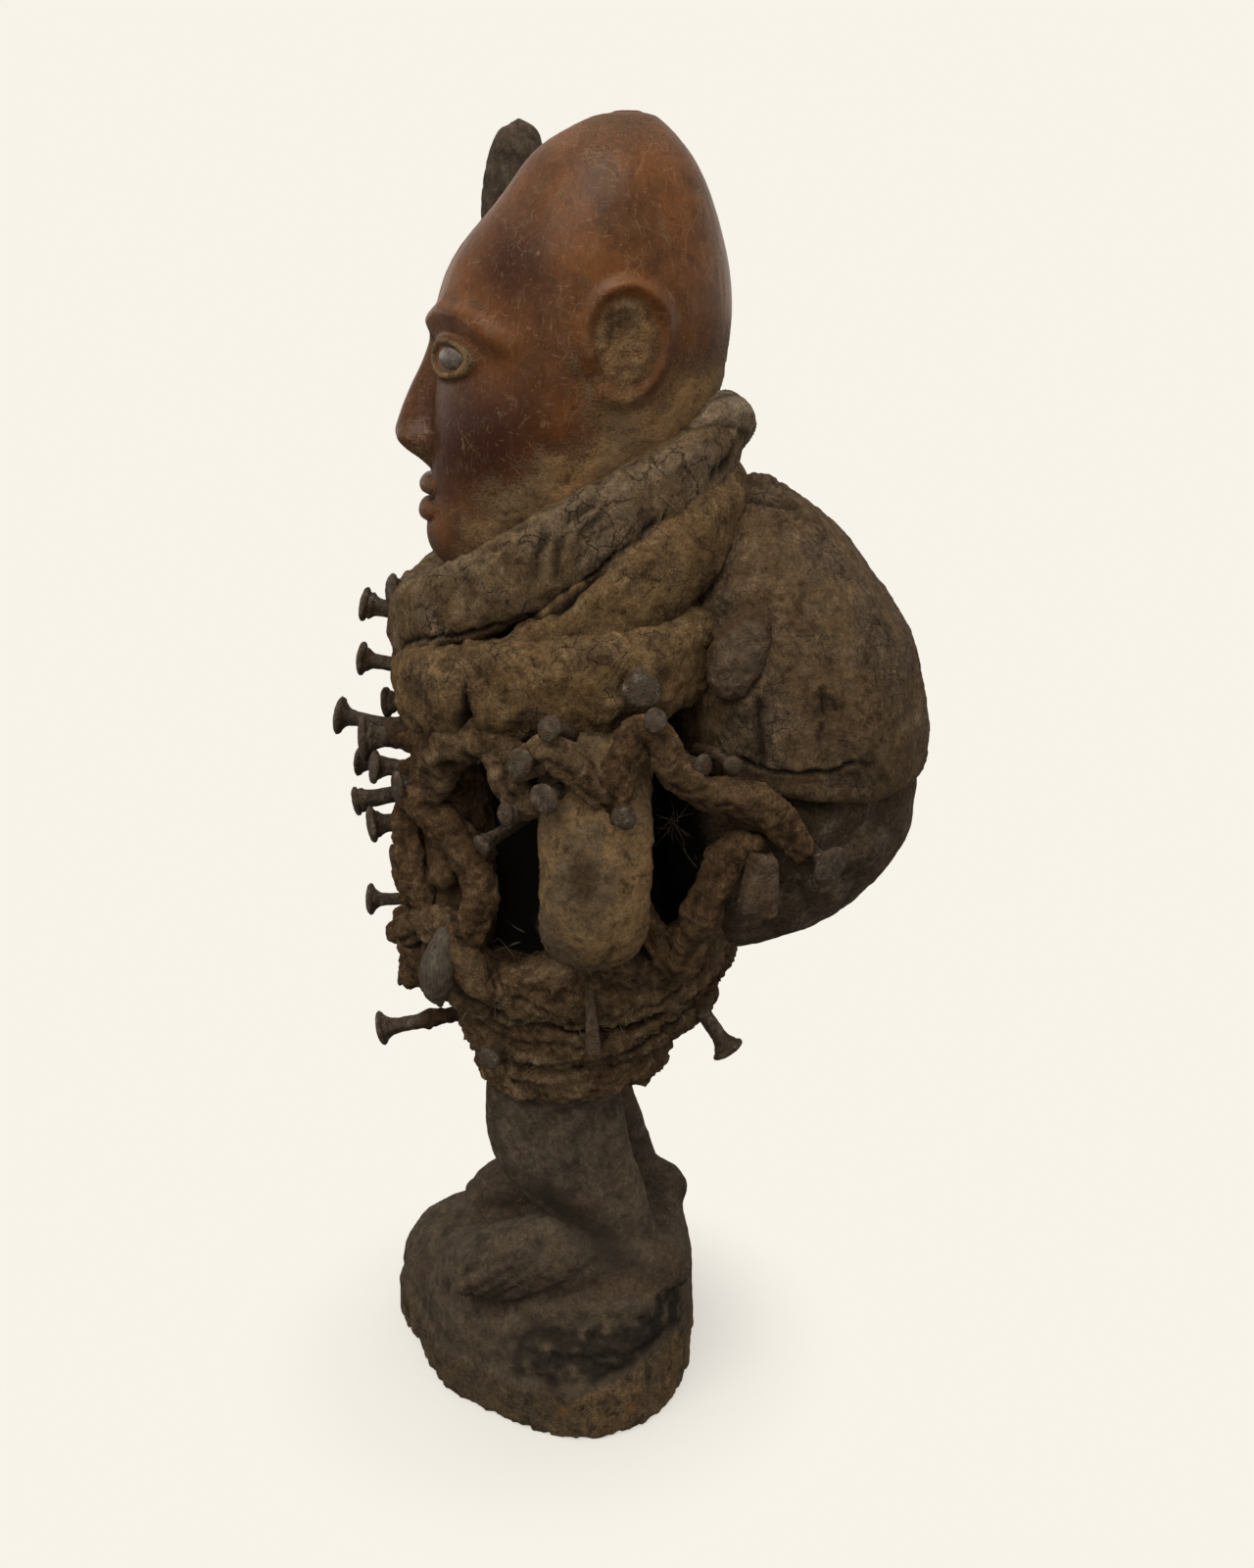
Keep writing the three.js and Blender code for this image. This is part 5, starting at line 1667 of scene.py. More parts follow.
@dataclass
class Bundle:
    """The stuffed bundle, the sling of cloth under it, and the oval stud that pins it.

    Attributes:
        rows: Slices of the bundle.
        sling: Slices of the sling.
        stud: Centre of the stud.
        stud_half: Its half thickness, half width and half height.
        flap: y and z along the edge of the cloth that overhangs the sling.
        dent: y and z of the torn dent.
    """

    rows: Rows = (
        (372, 80, 92, -10, 10), (368, 72, 100, -26, 26), (357, 64, 114, -43, 43),
        (341, 56, 128, -57, 57), (320, 50, 142, -66, 66), (300, 48, 149, -70, 70),
        (282, 48, 152, -70, 70), (269, 54, 150, -64, 64), (262, 66, 140, -50, 50),
    )
    sling: Rows = (
        (274, 56, 140, -50, 50), (262, 52, 148, -58, 58), (248, 50, 148, -55, 55),
        (236, 50, 146, -50, 50), (222, 51, 137, -44, 44), (209, 52, 125, -36, 36),
        (199, 56, 108, -26, 26), (192, 64, 92, -14, 14),
    )
    stud: tuple[float, float, float] = (61, 76, 321)
    stud_half: tuple[float, float, float] = (8, 11, 16)
    flap: Rows = (
        (60, 276), (80, 272), (92, 270), (107, 268), (127, 263), (137, 263.5), (145, 266), (160, 268),
    )
    dent: tuple[float, float] = (106, 302)

    def _bundle(self) -> None:
        """The bundle: lumps, knot, creases, crust round the stud, the tear and the flap."""
        skin = column(self.rows, 170, 236, cap=3)
        p = skin.points
        x, y, z = np.moveaxis(p, -1, 0)
        flank = ease(x, 14, 24)
        depth = 1.3 * GRAIN.waves(p, 32, 3.4) + 0.5 * GRAIN.rough(p, 9, 3, 8.2)
        depth += 0.28 * GRAIN.rough(p, 3, 2, 2.4)
        knot = ridge(np.hypot(y - 84, (z - 371) * 1.2), 13)
        depth += knot * (1.2 * np.abs(GRAIN.rough(p, 6, 3, 5.3)) - 0.4)
        up = (z - self.stud[2]) / (self.stud_half[2] + 2.5)
        over = (y - self.stud[1] - 0.25 * (z - self.stud[2])) / (self.stud_half[1] + 2.5)
        ring = np.hypot(up, over)
        depth += flank * (1.8 * ridge(ring - 1.08, 0.2) * (1 + 0.6 * GRAIN.rough(p, 3, 2, 1.2)))
        gap = np.hypot((y - self.dent[0]) * 1.3, z - self.dent[1])
        depth -= flank * ridge(gap, 8) * (1.8 + 0.9 * GRAIN.rough(p, 4, 3, 9.9))
        edge = np.interp(y, *np.asarray(self.flap, float).T) + 0.8 * GRAIN.waves(p, 9, 4.1)
        below = ease(edge - z, -0.8, 1.4)
        depth += 1.4 * ridge(z - edge - 3.5, 3.5) * ease(y, 66, 80) - 3.0 * below * ease(y, 70, 84)
        depth -= 2.2 * ridge(np.hypot(y - 64, z - 279), 9) * flank
        lines = (
            Line(((78, 369), (88, 368), (101, 366)), 1.1, 1.8, jag=1.0, lip=0.4, groove_shade=0.7),
            Line(((83, 306), (83, 299), (84, 284)), 1.2, 2.0, jag=0.6, lip=0.3, groove_shade=0.8, hand=LEFT),
            Line(
                ((78, 284), (84, 282), (97, 281), (111, 281), (116, 284)), 0.8, 2.0, jag=0.9, lip=0.4,
                groove_shade=1.0,
            ),
            Line(((118, 283), (124, 280), (128, 274)), 1.2, 0.8, jag=0.8, lip=0.5, groove_shade=0.2),
            Line(((62, 352), (60, 340), (57, 322)), 2.4, 1.6, jag=0.8, lip=0.5),
            Line(((70, 345), (84, 347), (96, 351)), 2.0, 0.9, jag=1.2, lip=0.5),
            Line(((92, 320), (98, 300), (96, 288)), 2.6, 0.8, jag=1.5, lip=0.4),
            Line(((104, 311), (105, 304), (103, 292)), 0.7, 1.4, jag=1.2, lip=0.5, groove_shade=0.6),
            Line(((101, 308), (107, 307), (111, 303)), 0.7, 1.0, jag=1.0, lip=0.5, groove_shade=0.4),
            Line(((120, 330), (128, 312), (131, 292)), 3.2, 0.8, jag=1.5, lip=0.4),
        )
        carved, groove_shade = carve_all(p, lines)
        network = GRAIN.cracked(p + 1.6 * GRAIN.waves(p, 5, 0.7)[..., None], 9, 1.9)
        zone = ease(GRAIN.waves(p, 24, 6.3), 0.05, 0.5)
        fine = ridge(network, 0.06) * zone
        depth += carved - 0.7 * fine
        skin.push(depth)
        skin.layers = {
            # Painted shade in the lines' grooves and in the recess under the flap.
            "painted_shade": np.maximum(groove_shade, 0.9 * below * ridge(edge - z, 7)),
            # Painted shade in the fine cracks and the torn dent, and darker towards the bottom, as shade
            # would fall.
            "stain_and_painted_shade": np.maximum(0.7 * fine, 0.55 * flank * ridge(gap, 10)) + 0.15 * ease(
                -z, -300, -268,
            ),
            # A small pale spot near the back edge.
            "pale_and_painted_highlight": 0.9 * ridge(np.hypot(y - 142, z - 292), 3.4) * flank,
        }
        dress_skin("back_bundle_stuffed", skin, BUNDLE_CLOTH, "back_bundle")

    def _sling(self) -> None:
        """The sling: broad folds that run down to the big nail, and small creases.

        Formula: folds are waves of the angle about the nail's place on the flank, fading with
        distance from it.
        """
        skin = column(self.sling, 104, 130, cap=3)
        p = skin.points
        x, y, z = np.moveaxis(p, -1, 0)
        angle = np.arctan2(z - 236, y - 96)
        far = np.hypot(z - 236, y - 96)
        on_flank = ease(x, 20, 36)
        folds = np.sin(8 * angle + 1.2 * GRAIN.waves(p, 18, 2.2)) * ridge(far, 42) * on_flank
        hung = np.sin(y * 0.33 + z * 0.12 + 1.4 * GRAIN.waves(p, 20, 8.1)) * on_flank
        depth = 1.5 * folds + 0.7 * hung + 0.5 * GRAIN.rough(p, 8, 3, 3.9)
        skin.push(depth)
        skin.layers = {
            # Painted shade in the folds' hollows and on the top, under the bundle.
            "stain_and_painted_shade": 0.6 * ease(-depth, 0.6, 2.2) + 0.4 * ease(z, 250, 262),
            # Painted shade on the top, under the bundle's flap, and on the inner front, which faces the
            # dark hollow.
            "painted_shade": np.maximum(0.8 * ease(z, 262, 268), 1 - ease(y, 62, 72)),
        }
        dress_skin("bundle_sling_hung", skin, SLING_CLOTH, "bundle_sling")

    def _stud(self) -> None:
        """The stud: a dome on an oval, hammered, with a thin rim.

        Formula: an egg whose top leans back and in with its height, with noise of two sizes.
        """
        skin = egg((0, 0, 0), self.stud_half, 50, 60)
        lean = skin.points[..., 2]
        skin.points[..., 0] -= 0.12 * lean
        skin.points[..., 1] += 0.25 * lean
        skin.points += np.asarray(self.stud, float)
        dents = 0.8 * GRAIN.rough(skin.points, 6, 3, 9.4) + 0.35 * GRAIN.waves(skin.points, 3, 2.6)
        skin.push(dents - 0.2)
        edge = ease(-skin.points[..., 0], -self.stud[0] - 5, -self.stud[0] - 1)
        skin.layers = {"crust": 0.55 * edge + 0.25}
        dress_skin("bundle_stud_forged", skin, BROWN_IRON, "bundle_stud")

    def make(self) -> None:
        """Builds the bundle, its sling and its stud."""
        self._bundle()
        self._sling()
        self._stud()


# Iron


@dataclass(frozen=True)
class Nail:
    """A hand-forged nail: centre of its head's underside, its tip and its two radii.

    Attributes:
        head: Where the shank meets the head.
        tip: Its buried point.
        radius: Radius of the head.
        shank: Radius of the shank under the head.
        square: How square the shank is, 0 for round.
        bare: How much of the shank is free of crust.
    """

    head: tuple[float, float, float]
    tip: tuple[float, float, float]
    radius: float
    shank: float
    square: float = 0.5
    bare: float = 0.3

    def surface(self, rng: np.random.Generator) -> Skin:
        """The nail's outline turned about its own axis.

        Formula: rows of radius and height, a smooth curve through tip, shank, flare, rim and
        dome. The radius is then multiplied by a square's outline on the shank and by slow waves
        of the angle on the head, and the axis bows by a sine of the height.

        Args:
            rng: Where the nail's own unevenness comes from.

        Returns:
            The surface, with its crust layer.
        """
        tip, head = np.asarray(self.tip, float), np.asarray(self.head, float)
        long = float(np.linalg.norm(head - tip))
        axis = (head - tip) / long
        r, s = self.radius, self.shank
        outline = [(0.02, 0), (0.8 * s, 0.4)]
        outline += [(s * (0.82 + 0.2 * k), long * k) for k in (0.15, 0.3, 0.45, 0.6, 0.72, 0.82)]
        outline += [(1.15 * s, long - 4), (1.5 * s, long - 2.6), (0.72 * r, long - 1.6)]
        outline += [(0.96 * r, long - 0.9), (1.02 * r, long - 0.1), (0.97 * r, long + 0.09 * r)]
        outline += [(0.8 * r, long + 0.19 * r), (0.5 * r, long + 0.26 * r), (0.02, long + 0.3 * r)]
        profile = glide(outline, paced(outline, 48))
        radius, height = np.maximum(profile[:, :1], 0), profile[:, 1:]
        turn = turns(24)[None, :]
        swing = rng.uniform(0, FULL_TURN, 3)
        on_head = ease(height, long - 2.5, long - 1)
        power = 2 + 3.5 * self.square
        box = np.abs(np.cos(turn + swing[0])) ** power + np.abs(np.sin(turn + swing[0])) ** power
        box **= -1 / power
        hammered = 1 + 0.05 * np.sin(2 * turn + swing[1]) + 0.035 * np.sin(3 * turn + swing[2])
        radius = radius * (on_head * hammered + (1 - on_head) * (1 + (box - 1) * 0.8))
        coat = (1 - ease(height / long, 0.72 - self.bare, 0.95 - self.bare)) * (1 - on_head)
        ahead = np.cross(axis, (0.3, 0.2, 0.9))
        ahead /= np.linalg.norm(ahead)
        aside = np.cross(axis, ahead)
        bow = (rng.uniform(-0.7, 0.7) * np.sin(math.pi * height / long))[..., None]
        dip = (rng.uniform(-0.12, 0.12) * on_head * radius * np.cos(turn + swing[1]))
        points = (
            tip
            + axis * (height + dip)[..., None]
            + ahead * (radius * np.cos(turn))[..., None]
            + aside * (radius * np.sin(turn))[..., None]
            + aside * bow
        )
        points[0], points[-1] = points[0].mean(0), points[-1].mean(0)
        skin = Skin(points)
        lumps = np.clip(0.9 + 1.3 * GRAIN.rough(points, 3.6, 3, swing[0]), 0, 2.6)
        dents = 0.2 * GRAIN.waves(points, 2.4, swing[1]) + 0.1 * GRAIN.waves(points, 1.1, swing[2])
        skin.push(coat * lumps + dents)
        rim = on_head * ridge(radius - r, 0.22 * r) * ease(GRAIN.waves(points, 4, swing[0]), -0.2, 0.5)
        skin.layers = {"crust": np.maximum(coat, 0.7 * rim)}
        return skin


NAILS: dict[str, Nail] = {
    "nail_chin": Nail((6, -51, 333), (0, -30, 328), 5.4, 2.4, bare=0.5),
    "nail_throat": Nail((0, -62, 325.5), (0, -34, 319), 6.4, 3.2),
    "nail_collar": Nail((0, -64, 304.5), (0, -34, 300), 6.6, 2.8),
    "nail_chest_right": Nail((-12, -57, 284), (-8, -26, 288), 5.8, 2.8),
    "nail_chest_long": Nail((-4, -74, 281), (-1, -26, 273), 7.2, 2.6, bare=0.45),
    "nail_chest_thick": Nail((16, -62, 277.5), (12, -24, 279), 8.4, 3.8, bare=0.05),
    "nail_chest_low": Nail((-17, -69, 259), (-9, -24, 252), 6.6, 2.8),
    "nail_chest_short": Nail((28, -57, 270), (21, -25, 264), 6.6, 2.6),
    "nail_left_breast": Nail((36, -47.5, 264.5), (24, -14, 268), 6.4, 3),
    "nail_belly_upper": Nail((5, -68, 249), (3, -24, 257), 5.6, 3),
    "nail_belly_left": Nail((20, -60, 244.5), (14, -24, 247), 7.4, 3.2, bare=0.1),
    "nail_belly_short": Nail((24, -51, 231), (17, -24, 234), 6.4, 3),
    "nail_belly_long": Nail((0, -65, 206), (0, -24, 208), 6, 2.4, bare=0.5),
    "nail_belly_stub": Nail((-14, -52, 186), (-10, -22, 184), 4.6, 3),
    "nail_hip_hooked": Nail((-6, -55, 171), (-2, -16, 166), 4.6, 2.6),
    "nail_hip_front": Nail((6, -62, 152.5), (4, -22, 160), 6.8, 2.8, bare=0.25),
    "nail_shoulder": Nail((77.5, 42, 313), (48, 42, 310), 6.6, 3),
    "nail_arm_top": Nail((90, 11, 303), (64, 20, 292), 4.4, 2.2),
    "nail_arm_upper": Nail((89, 1, 290.5), (64, 14, 284), 5, 2.3),
    "nail_arm_middle": Nail((92, 9, 279), (68, 18, 276), 5.2, 2.3),
    "nail_arm_lower": Nail((79, -5, 269), (60, 14, 268), 4, 2.3),
    "nail_arm_back": Nail((91, 36, 272), (68, 33, 270), 4.2, 2),
    "nail_belly_side": Nail((61, -15, 251), (36, 12, 262), 4, 2.2, square=1, bare=0.9),
    "nail_strip": Nail((87.5, 46.5, 305), (50, 44, 290), 4.2, 2),
    "nail_flank_upper": Nail((80, 63, 287), (44, 52, 280), 3.6, 1.8),
    "nail_flank_lower": Nail((83, 73, 288), (50, 62, 284), 3.2, 1.6),
    "nail_sling": Nail((69, 109, 246), (50, 96, 250), 7.4, 3),
    "nail_hip_side": Nail((54, -15, 163), (34, -4, 166), 4.6, 2),
    "nail_hip_behind": Nail((40, 76, 160), (31, 56, 188), 6.8, 2.8, bare=0.35),
    "nail_right_shoulder": Nail((-72, -16, 309), (-46, 6, 304), 6.2, 2.8),
    "nail_right_chest": Nail((-64, -18, 288), (-40, 4, 280), 5.8, 2.6),
    "nail_right_belly": Nail((-62, -34, 246), (-30, -12, 244), 6, 2.6),
    "nail_right_flank": Nail((-72, 40, 258), (-28, 34, 252), 6.2, 2.8),
}


@dataclass
class Ironwork:
    """All the iron: nails, the wedge under the bundle and the flat tack in the hip.

    Attributes:
        wedge_at: Centre of the wedge.
        wedge_size: Its three sizes.
        wedge_tilt: Its turns about x and z.
        tack_at: Centre of the tack.
        tack_size: Its three sizes.
        tack_tilt: Its turn about x.
    """

    wedge_at: tuple[float, float, float] = (74, 84, 241)
    wedge_size: tuple[float, float, float] = (7, 13, 23)
    wedge_tilt: tuple[float, float] = (-0.12, 0.35)
    tack_at: tuple[float, float, float] = (64, 24, 183)
    tack_size: tuple[float, float, float] = (2.6, 4.5, 27)
    tack_tilt: float = 0.06

    @staticmethod
    def _turned(points: Array, about_x: float, about_z: float) -> Array:
        """Points turned about x and then about z, each by an angle in radians."""
        x, y, z = np.moveaxis(points, -1, 0)
        cos, sin = math.cos(about_x), math.sin(about_x)
        y, z = y * cos - z * sin, y * sin + z * cos
        cos, sin = math.cos(about_z), math.sin(about_z)
        return np.stack([x * cos - y * sin, x * sin + y * cos, z], -1)

    def _wedge(self) -> None:
        """A worn plate, narrower at the top, with a round boss near its foot."""
        skin = egg((0, 0, 0), np.array(self.wedge_size) / 2, 60, 72, 0.32)
        p = skin.points
        p[..., 1] *= 1 - 0.012 * (p[..., 2] + 4)
        boss = ridge(np.hypot(p[..., 1] - 3, p[..., 2] + 5.5), 4.2) * ease(p[..., 0], 1, 3)
        p[..., 0] += 1.1 * boss
        skin.points = self._turned(p, *self.wedge_tilt) + np.asarray(self.wedge_at, float)
        skin.push(0.9 * GRAIN.rough(skin.points, 5, 3, 3.3) + 0.4 * GRAIN.waves(skin.points, 2.2, 1.1))
        skin.layers = {"crust": 0.4 + 0.4 * GRAIN.waves(skin.points, 8, 5.1)}
        dress_skin("iron_wedge_forged", skin, BROWN_IRON, "iron_wedge")

    def _tack(self) -> None:
        """A flat tack, wide at its foot and thin at the top, rough with rust."""
        skin = egg((0, 0, 0), np.array(self.tack_size) / 2, 60, 40, 0.36)
        p = skin.points
        p[..., 1] *= 1 - 0.02 * p[..., 2]
        skin.points = self._turned(p, self.tack_tilt, 0) + np.asarray(self.tack_at, float)
        skin.push(0.3 * GRAIN.rough(skin.points, 3, 3, 6.8))
        skin.layers = {"crust": 0.5 * ease(skin.points[..., 2], 184, 192)}
        dress_skin("flat_tack_forged", skin, BROWN_IRON, "flat_tack")

    def make(self) -> None:
        """Builds every nail, the wedge and the tack."""
        rng = np.random.default_rng(GRAIN_SEED + 1)
        for node, nail in NAILS.items():
            dress_skin(node + "_forged", nail.surface(rng), IRON, node)
        self._wedge()
        self._tack()


# Crusted packs and strips


@dataclass
class BellyPack:
    """The crusted mass on chest and belly, with mud drawn out along the nails.

    Attributes:
        rows: Its slices.
        voxel: Size of the grid that joins mass and mud.
        sleeve: How far the mud follows a nail, as a share of the nail's free length.
        lumps: How many loose lumps sit on it.
    """

    rows: Rows = (
        (292, -41, -18, -26, 28), (282, -45, -10, -38, 40), (258, -46, -8, -41, 43),
        (232, -45, -8, -39, 42), (208, -49, -8, -37, 41), (192, -54, -8, -35, 38),
        (178, -50, -12, -27, 30),
    )
    voxel: float = 1.1
    sleeve: float = 0.45
    lumps: int = 42

    def _sleeves(self) -> list[Skin]:
        """A cone of mud round each nail in front, thick at the body and thin outwards."""
        cones = []
        for name, nail in NAILS.items():
            tip, head = np.asarray(nail.tip, float), np.asarray(nail.head, float)
            if head[1] > -44 or head[2] > 296 or head[2] < 166:
                continue
            way = head - tip
            start = (-40 - tip[1]) / way[1]
            stop = start + (1 - start) * self.sleeve
            rows = [
                (*(tip + way * share), width, width)
                for share, width in (
                    (start - 0.25, nail.shank + 6),
                    (start, nail.shank + 4.6),
                    ((start + stop) / 2, nail.shank + 2.4),
                    (stop, nail.shank + 0.9),
                )
            ]
            cones.append(bar(rows, (1, 0, 0), 16, 16, cap=1))
        return cones

    def _lumps(self) -> list[Skin]:
        """Eggs of mud scattered over the front and the left flank of the mass."""
        rng = np.random.default_rng(GRAIN_SEED + 2)
        balls = []
        for _ in range(self.lumps):
            share = rng.uniform(0.05, 0.97)
            z, front, back, inner, outer = glide(self.rows, np.array(share))
            turn = rng.uniform(math.pi * 1.08, math.pi * 1.98)
            x = (inner + outer) / 2 + (outer - inner) / 2 * math.cos(turn)
            y = (front + back) / 2 + (back - front) / 2 * math.sin(turn)
            size = rng.uniform(3, 6.5, 3)
            balls.append(egg((x, y, z), size, 10, 14))
        return balls

    def make(self) -> None:
        """Joins mass, sleeves and lumps, and roughens them."""
        skins = [column(self.rows, 90, 80, cap=4), *self._sleeves(), *self._lumps()]
        mesh = fused("belly_pack_crusted", skins, self.voxel, smoothing=2)
        points, _ = read_mesh(mesh)
        depth = 1.3 * GRAIN.waves(points, 9, 1.3) + 0.9 * GRAIN.rough(points, 3.6, 3, 5.9)
        depth -= 1.2 * ease(GRAIN.waves(points, 5, 7.4), 0.3, 0.8)
        points = push_mesh(mesh, depth)
        # Painted shade on the left flank's rear, which faces the dark hollow beside the arm.
        flank = ease(points[:, 0], 36, 44) * ease(points[:, 1], -30, -20)
        # Painted shade in hollows and on that flank, and paler raised places.
        paint(
            mesh,
            {
                "stain_and_painted_shade": 0.6 * ease(-depth, 0.7, 2.4),
                "painted_shade": np.maximum(0.6 * ease(-depth, 1.7, 3.2), 0.6 * flank),
                "pale_and_painted_highlight": 0.4 * ease(depth, 0.5, 2.4),
            },
        )
        dress("belly_pack_crusted", mesh, RED_CRUST, ["belly_pack"])


class Weave(Enum):
    """How a strip is made up."""

    ROPE = "twisted like rope"
    FLAT = "folded flat"


@dataclass
class Strip:
    """A strip of cloth stiff with crust, caught round the nails.

    Attributes:
        rows: x, y, z and two half widths along it.
        weave: How it is made up.
        finish: What it is covered with.
        lump: Height of its lumps.
    """

    rows: Rows
    weave: Weave = Weave.ROPE
    finish: Finish = RED_CRUST
    lump: float = 0.7

    def make(self, node: str) -> None:
        """Builds the strip in place of its node.

        Formula: the size of a sine makes folds with sharp creases between them, three that wind
        slowly round a rope and five along a flat strip. Lumps and crumbs are noise of three sizes.

        Args:
            node: The CAD node that it stands for.
        """
        path = np.asarray(self.rows, float)
        length = float(np.linalg.norm(np.diff(path[:, :3], axis=0), axis=1).sum())
        skin = bar(self.rows, (1, 0, 0), int(48 + 1.2 * length), 44, cap=4)
        rows, columns = skin.points.shape[:2]
        along = np.linspace(0, length, rows)[:, None]
        turn = turns(columns)[None, :]
        if self.weave is Weave.ROPE:
            creases = np.abs(np.sin(1.5 * turn + along * 0.07 + 1.4 * GRAIN.waves(skin.points, 9, 4.2)))
        else:
            creases = np.abs(np.sin(2.5 * turn + 0.9 * GRAIN.waves(skin.points, 12, 3.6)))
        folds = 1.5 * creases - 1.0
        knobs = self.lump * GRAIN.waves(skin.points, 9, 2.8)
        crumbs = 0.7 * GRAIN.rough(skin.points, 3.4, 4, 6.2)
        depth = folds + knobs + crumbs - 0.6 * ease(GRAIN.waves(skin.points, 3.1, 9.3), 0.4, 0.8)
        skin.push(depth)
        # Painted shade in the hollows and creases, and paler raised places.
        skin.layers = {
            "stain_and_painted_shade": 0.7 * ease(-depth, 0.2, 1.6), "painted_shade": 0.6 * ease(-depth, 1.3, 2.6),
            "pale_and_painted_highlight": 0.5 * ease(depth, 0.6, 1.9),
        }
        dress_skin(node + "_caught", skin, self.finish, node)


STRIPS: dict[str, Strip] = {
    "strip_over_arm": Strip(
        (
            (82, 31, 268, 5, 5),
            (83, 34, 285, 6, 5.5),
            (80, 40, 297, 6, 5.5),
            (79, 47, 297, 6, 5.5),
            (79, 54, 284, 6, 5.5),
            (77, 65, 276, 6, 5.5),
            (74, 78, 273, 7, 6),
            (69, 89, 264, 7, 6),
            (66, 99, 252, 5, 5),
        ),
        lump=0.6,
    ),
    "strip_arm_front": Strip(
        ((80, 2, 287, 5, 5), (84, 10, 293, 6, 5.5), (85, 20, 288, 6.5, 5.5), (84, 28, 277, 5, 5)),
        Weave.FLAT,
        HIP_CRUST,
        0.7,
    ),
    "strip_chest_fold": Strip(
        (
            (44, -33, 267, 6, 6),
            (52, -29, 282, 8.5, 7),
            (60, -18, 290, 8.5, 7),
            (67, -8, 290, 8, 7),
            (72, -3, 278, 7, 6),
            (75, 3, 271, 5, 5),
        ),
        finish=HIP_CRUST,
        lump=1.7,
    ),
    "strip_belly_long": Strip(
        (
            (36, -42, 262, 6, 6),
            (44, -31, 254, 7, 6),
            (50, -22, 245, 7, 6),
            (54, -17, 232, 7, 6),
            (53, -20, 217, 6, 6),
            (49, -27, 206, 6, 6),
        ),
    ),
    "strip_belly_short": Strip(
        ((27, -46, 256, 5, 5), (32, -45, 242, 6, 5.5), (37, -42, 226, 7, 6), (41, -38, 218, 5, 5)),
        lump=1.3,
    ),
    "strip_hip_front": Strip(
        (
            (36, -46, 206, 6, 6),
            (42, -39, 214, 7, 6),
            (48, -28, 211, 8.5, 7),
            (52, -20, 199, 8.5, 7),
            (54, -14, 190, 5, 5),
        ),
        finish=HIP_CRUST,
        lump=1.5,
    ),
    "strip_hip_back": Strip(
        (
            (67, 82, 254, 5, 5),
            (68, 74, 251, 7, 6),
            (69, 68, 238, 7, 6),
            (66, 62, 222, 7, 6),
            (61, 57, 205, 6, 6),
        ),
        lump=1.0,
    ),
    "strip_hip_cross": Strip(
        ((52, 40, 226, 4, 4), (57, 47, 214, 5, 5), (58, 54, 203, 5.5, 5.5)),
        Weave.FLAT,
    ),
    "strip_right_chest": Strip(
        (
            (-44, -36, 262, 6, 6),
            (-54, -28, 272, 7, 6.5),
            (-60, -14, 273, 8, 6.5),
            (-62, -2, 264, 6, 6),
        ),
        lump=1.2,
    ),
    "strip_right_flank": Strip(
        (
            (-58, 2, 252, 6, 6),
            (-58, 16, 244, 7, 6),
            (-56, 34, 240, 7, 6),
            (-58, 54, 236, 7, 6),
            (-62, 70, 228, 5, 5),
        ),
    ),
}


# Small things bound in


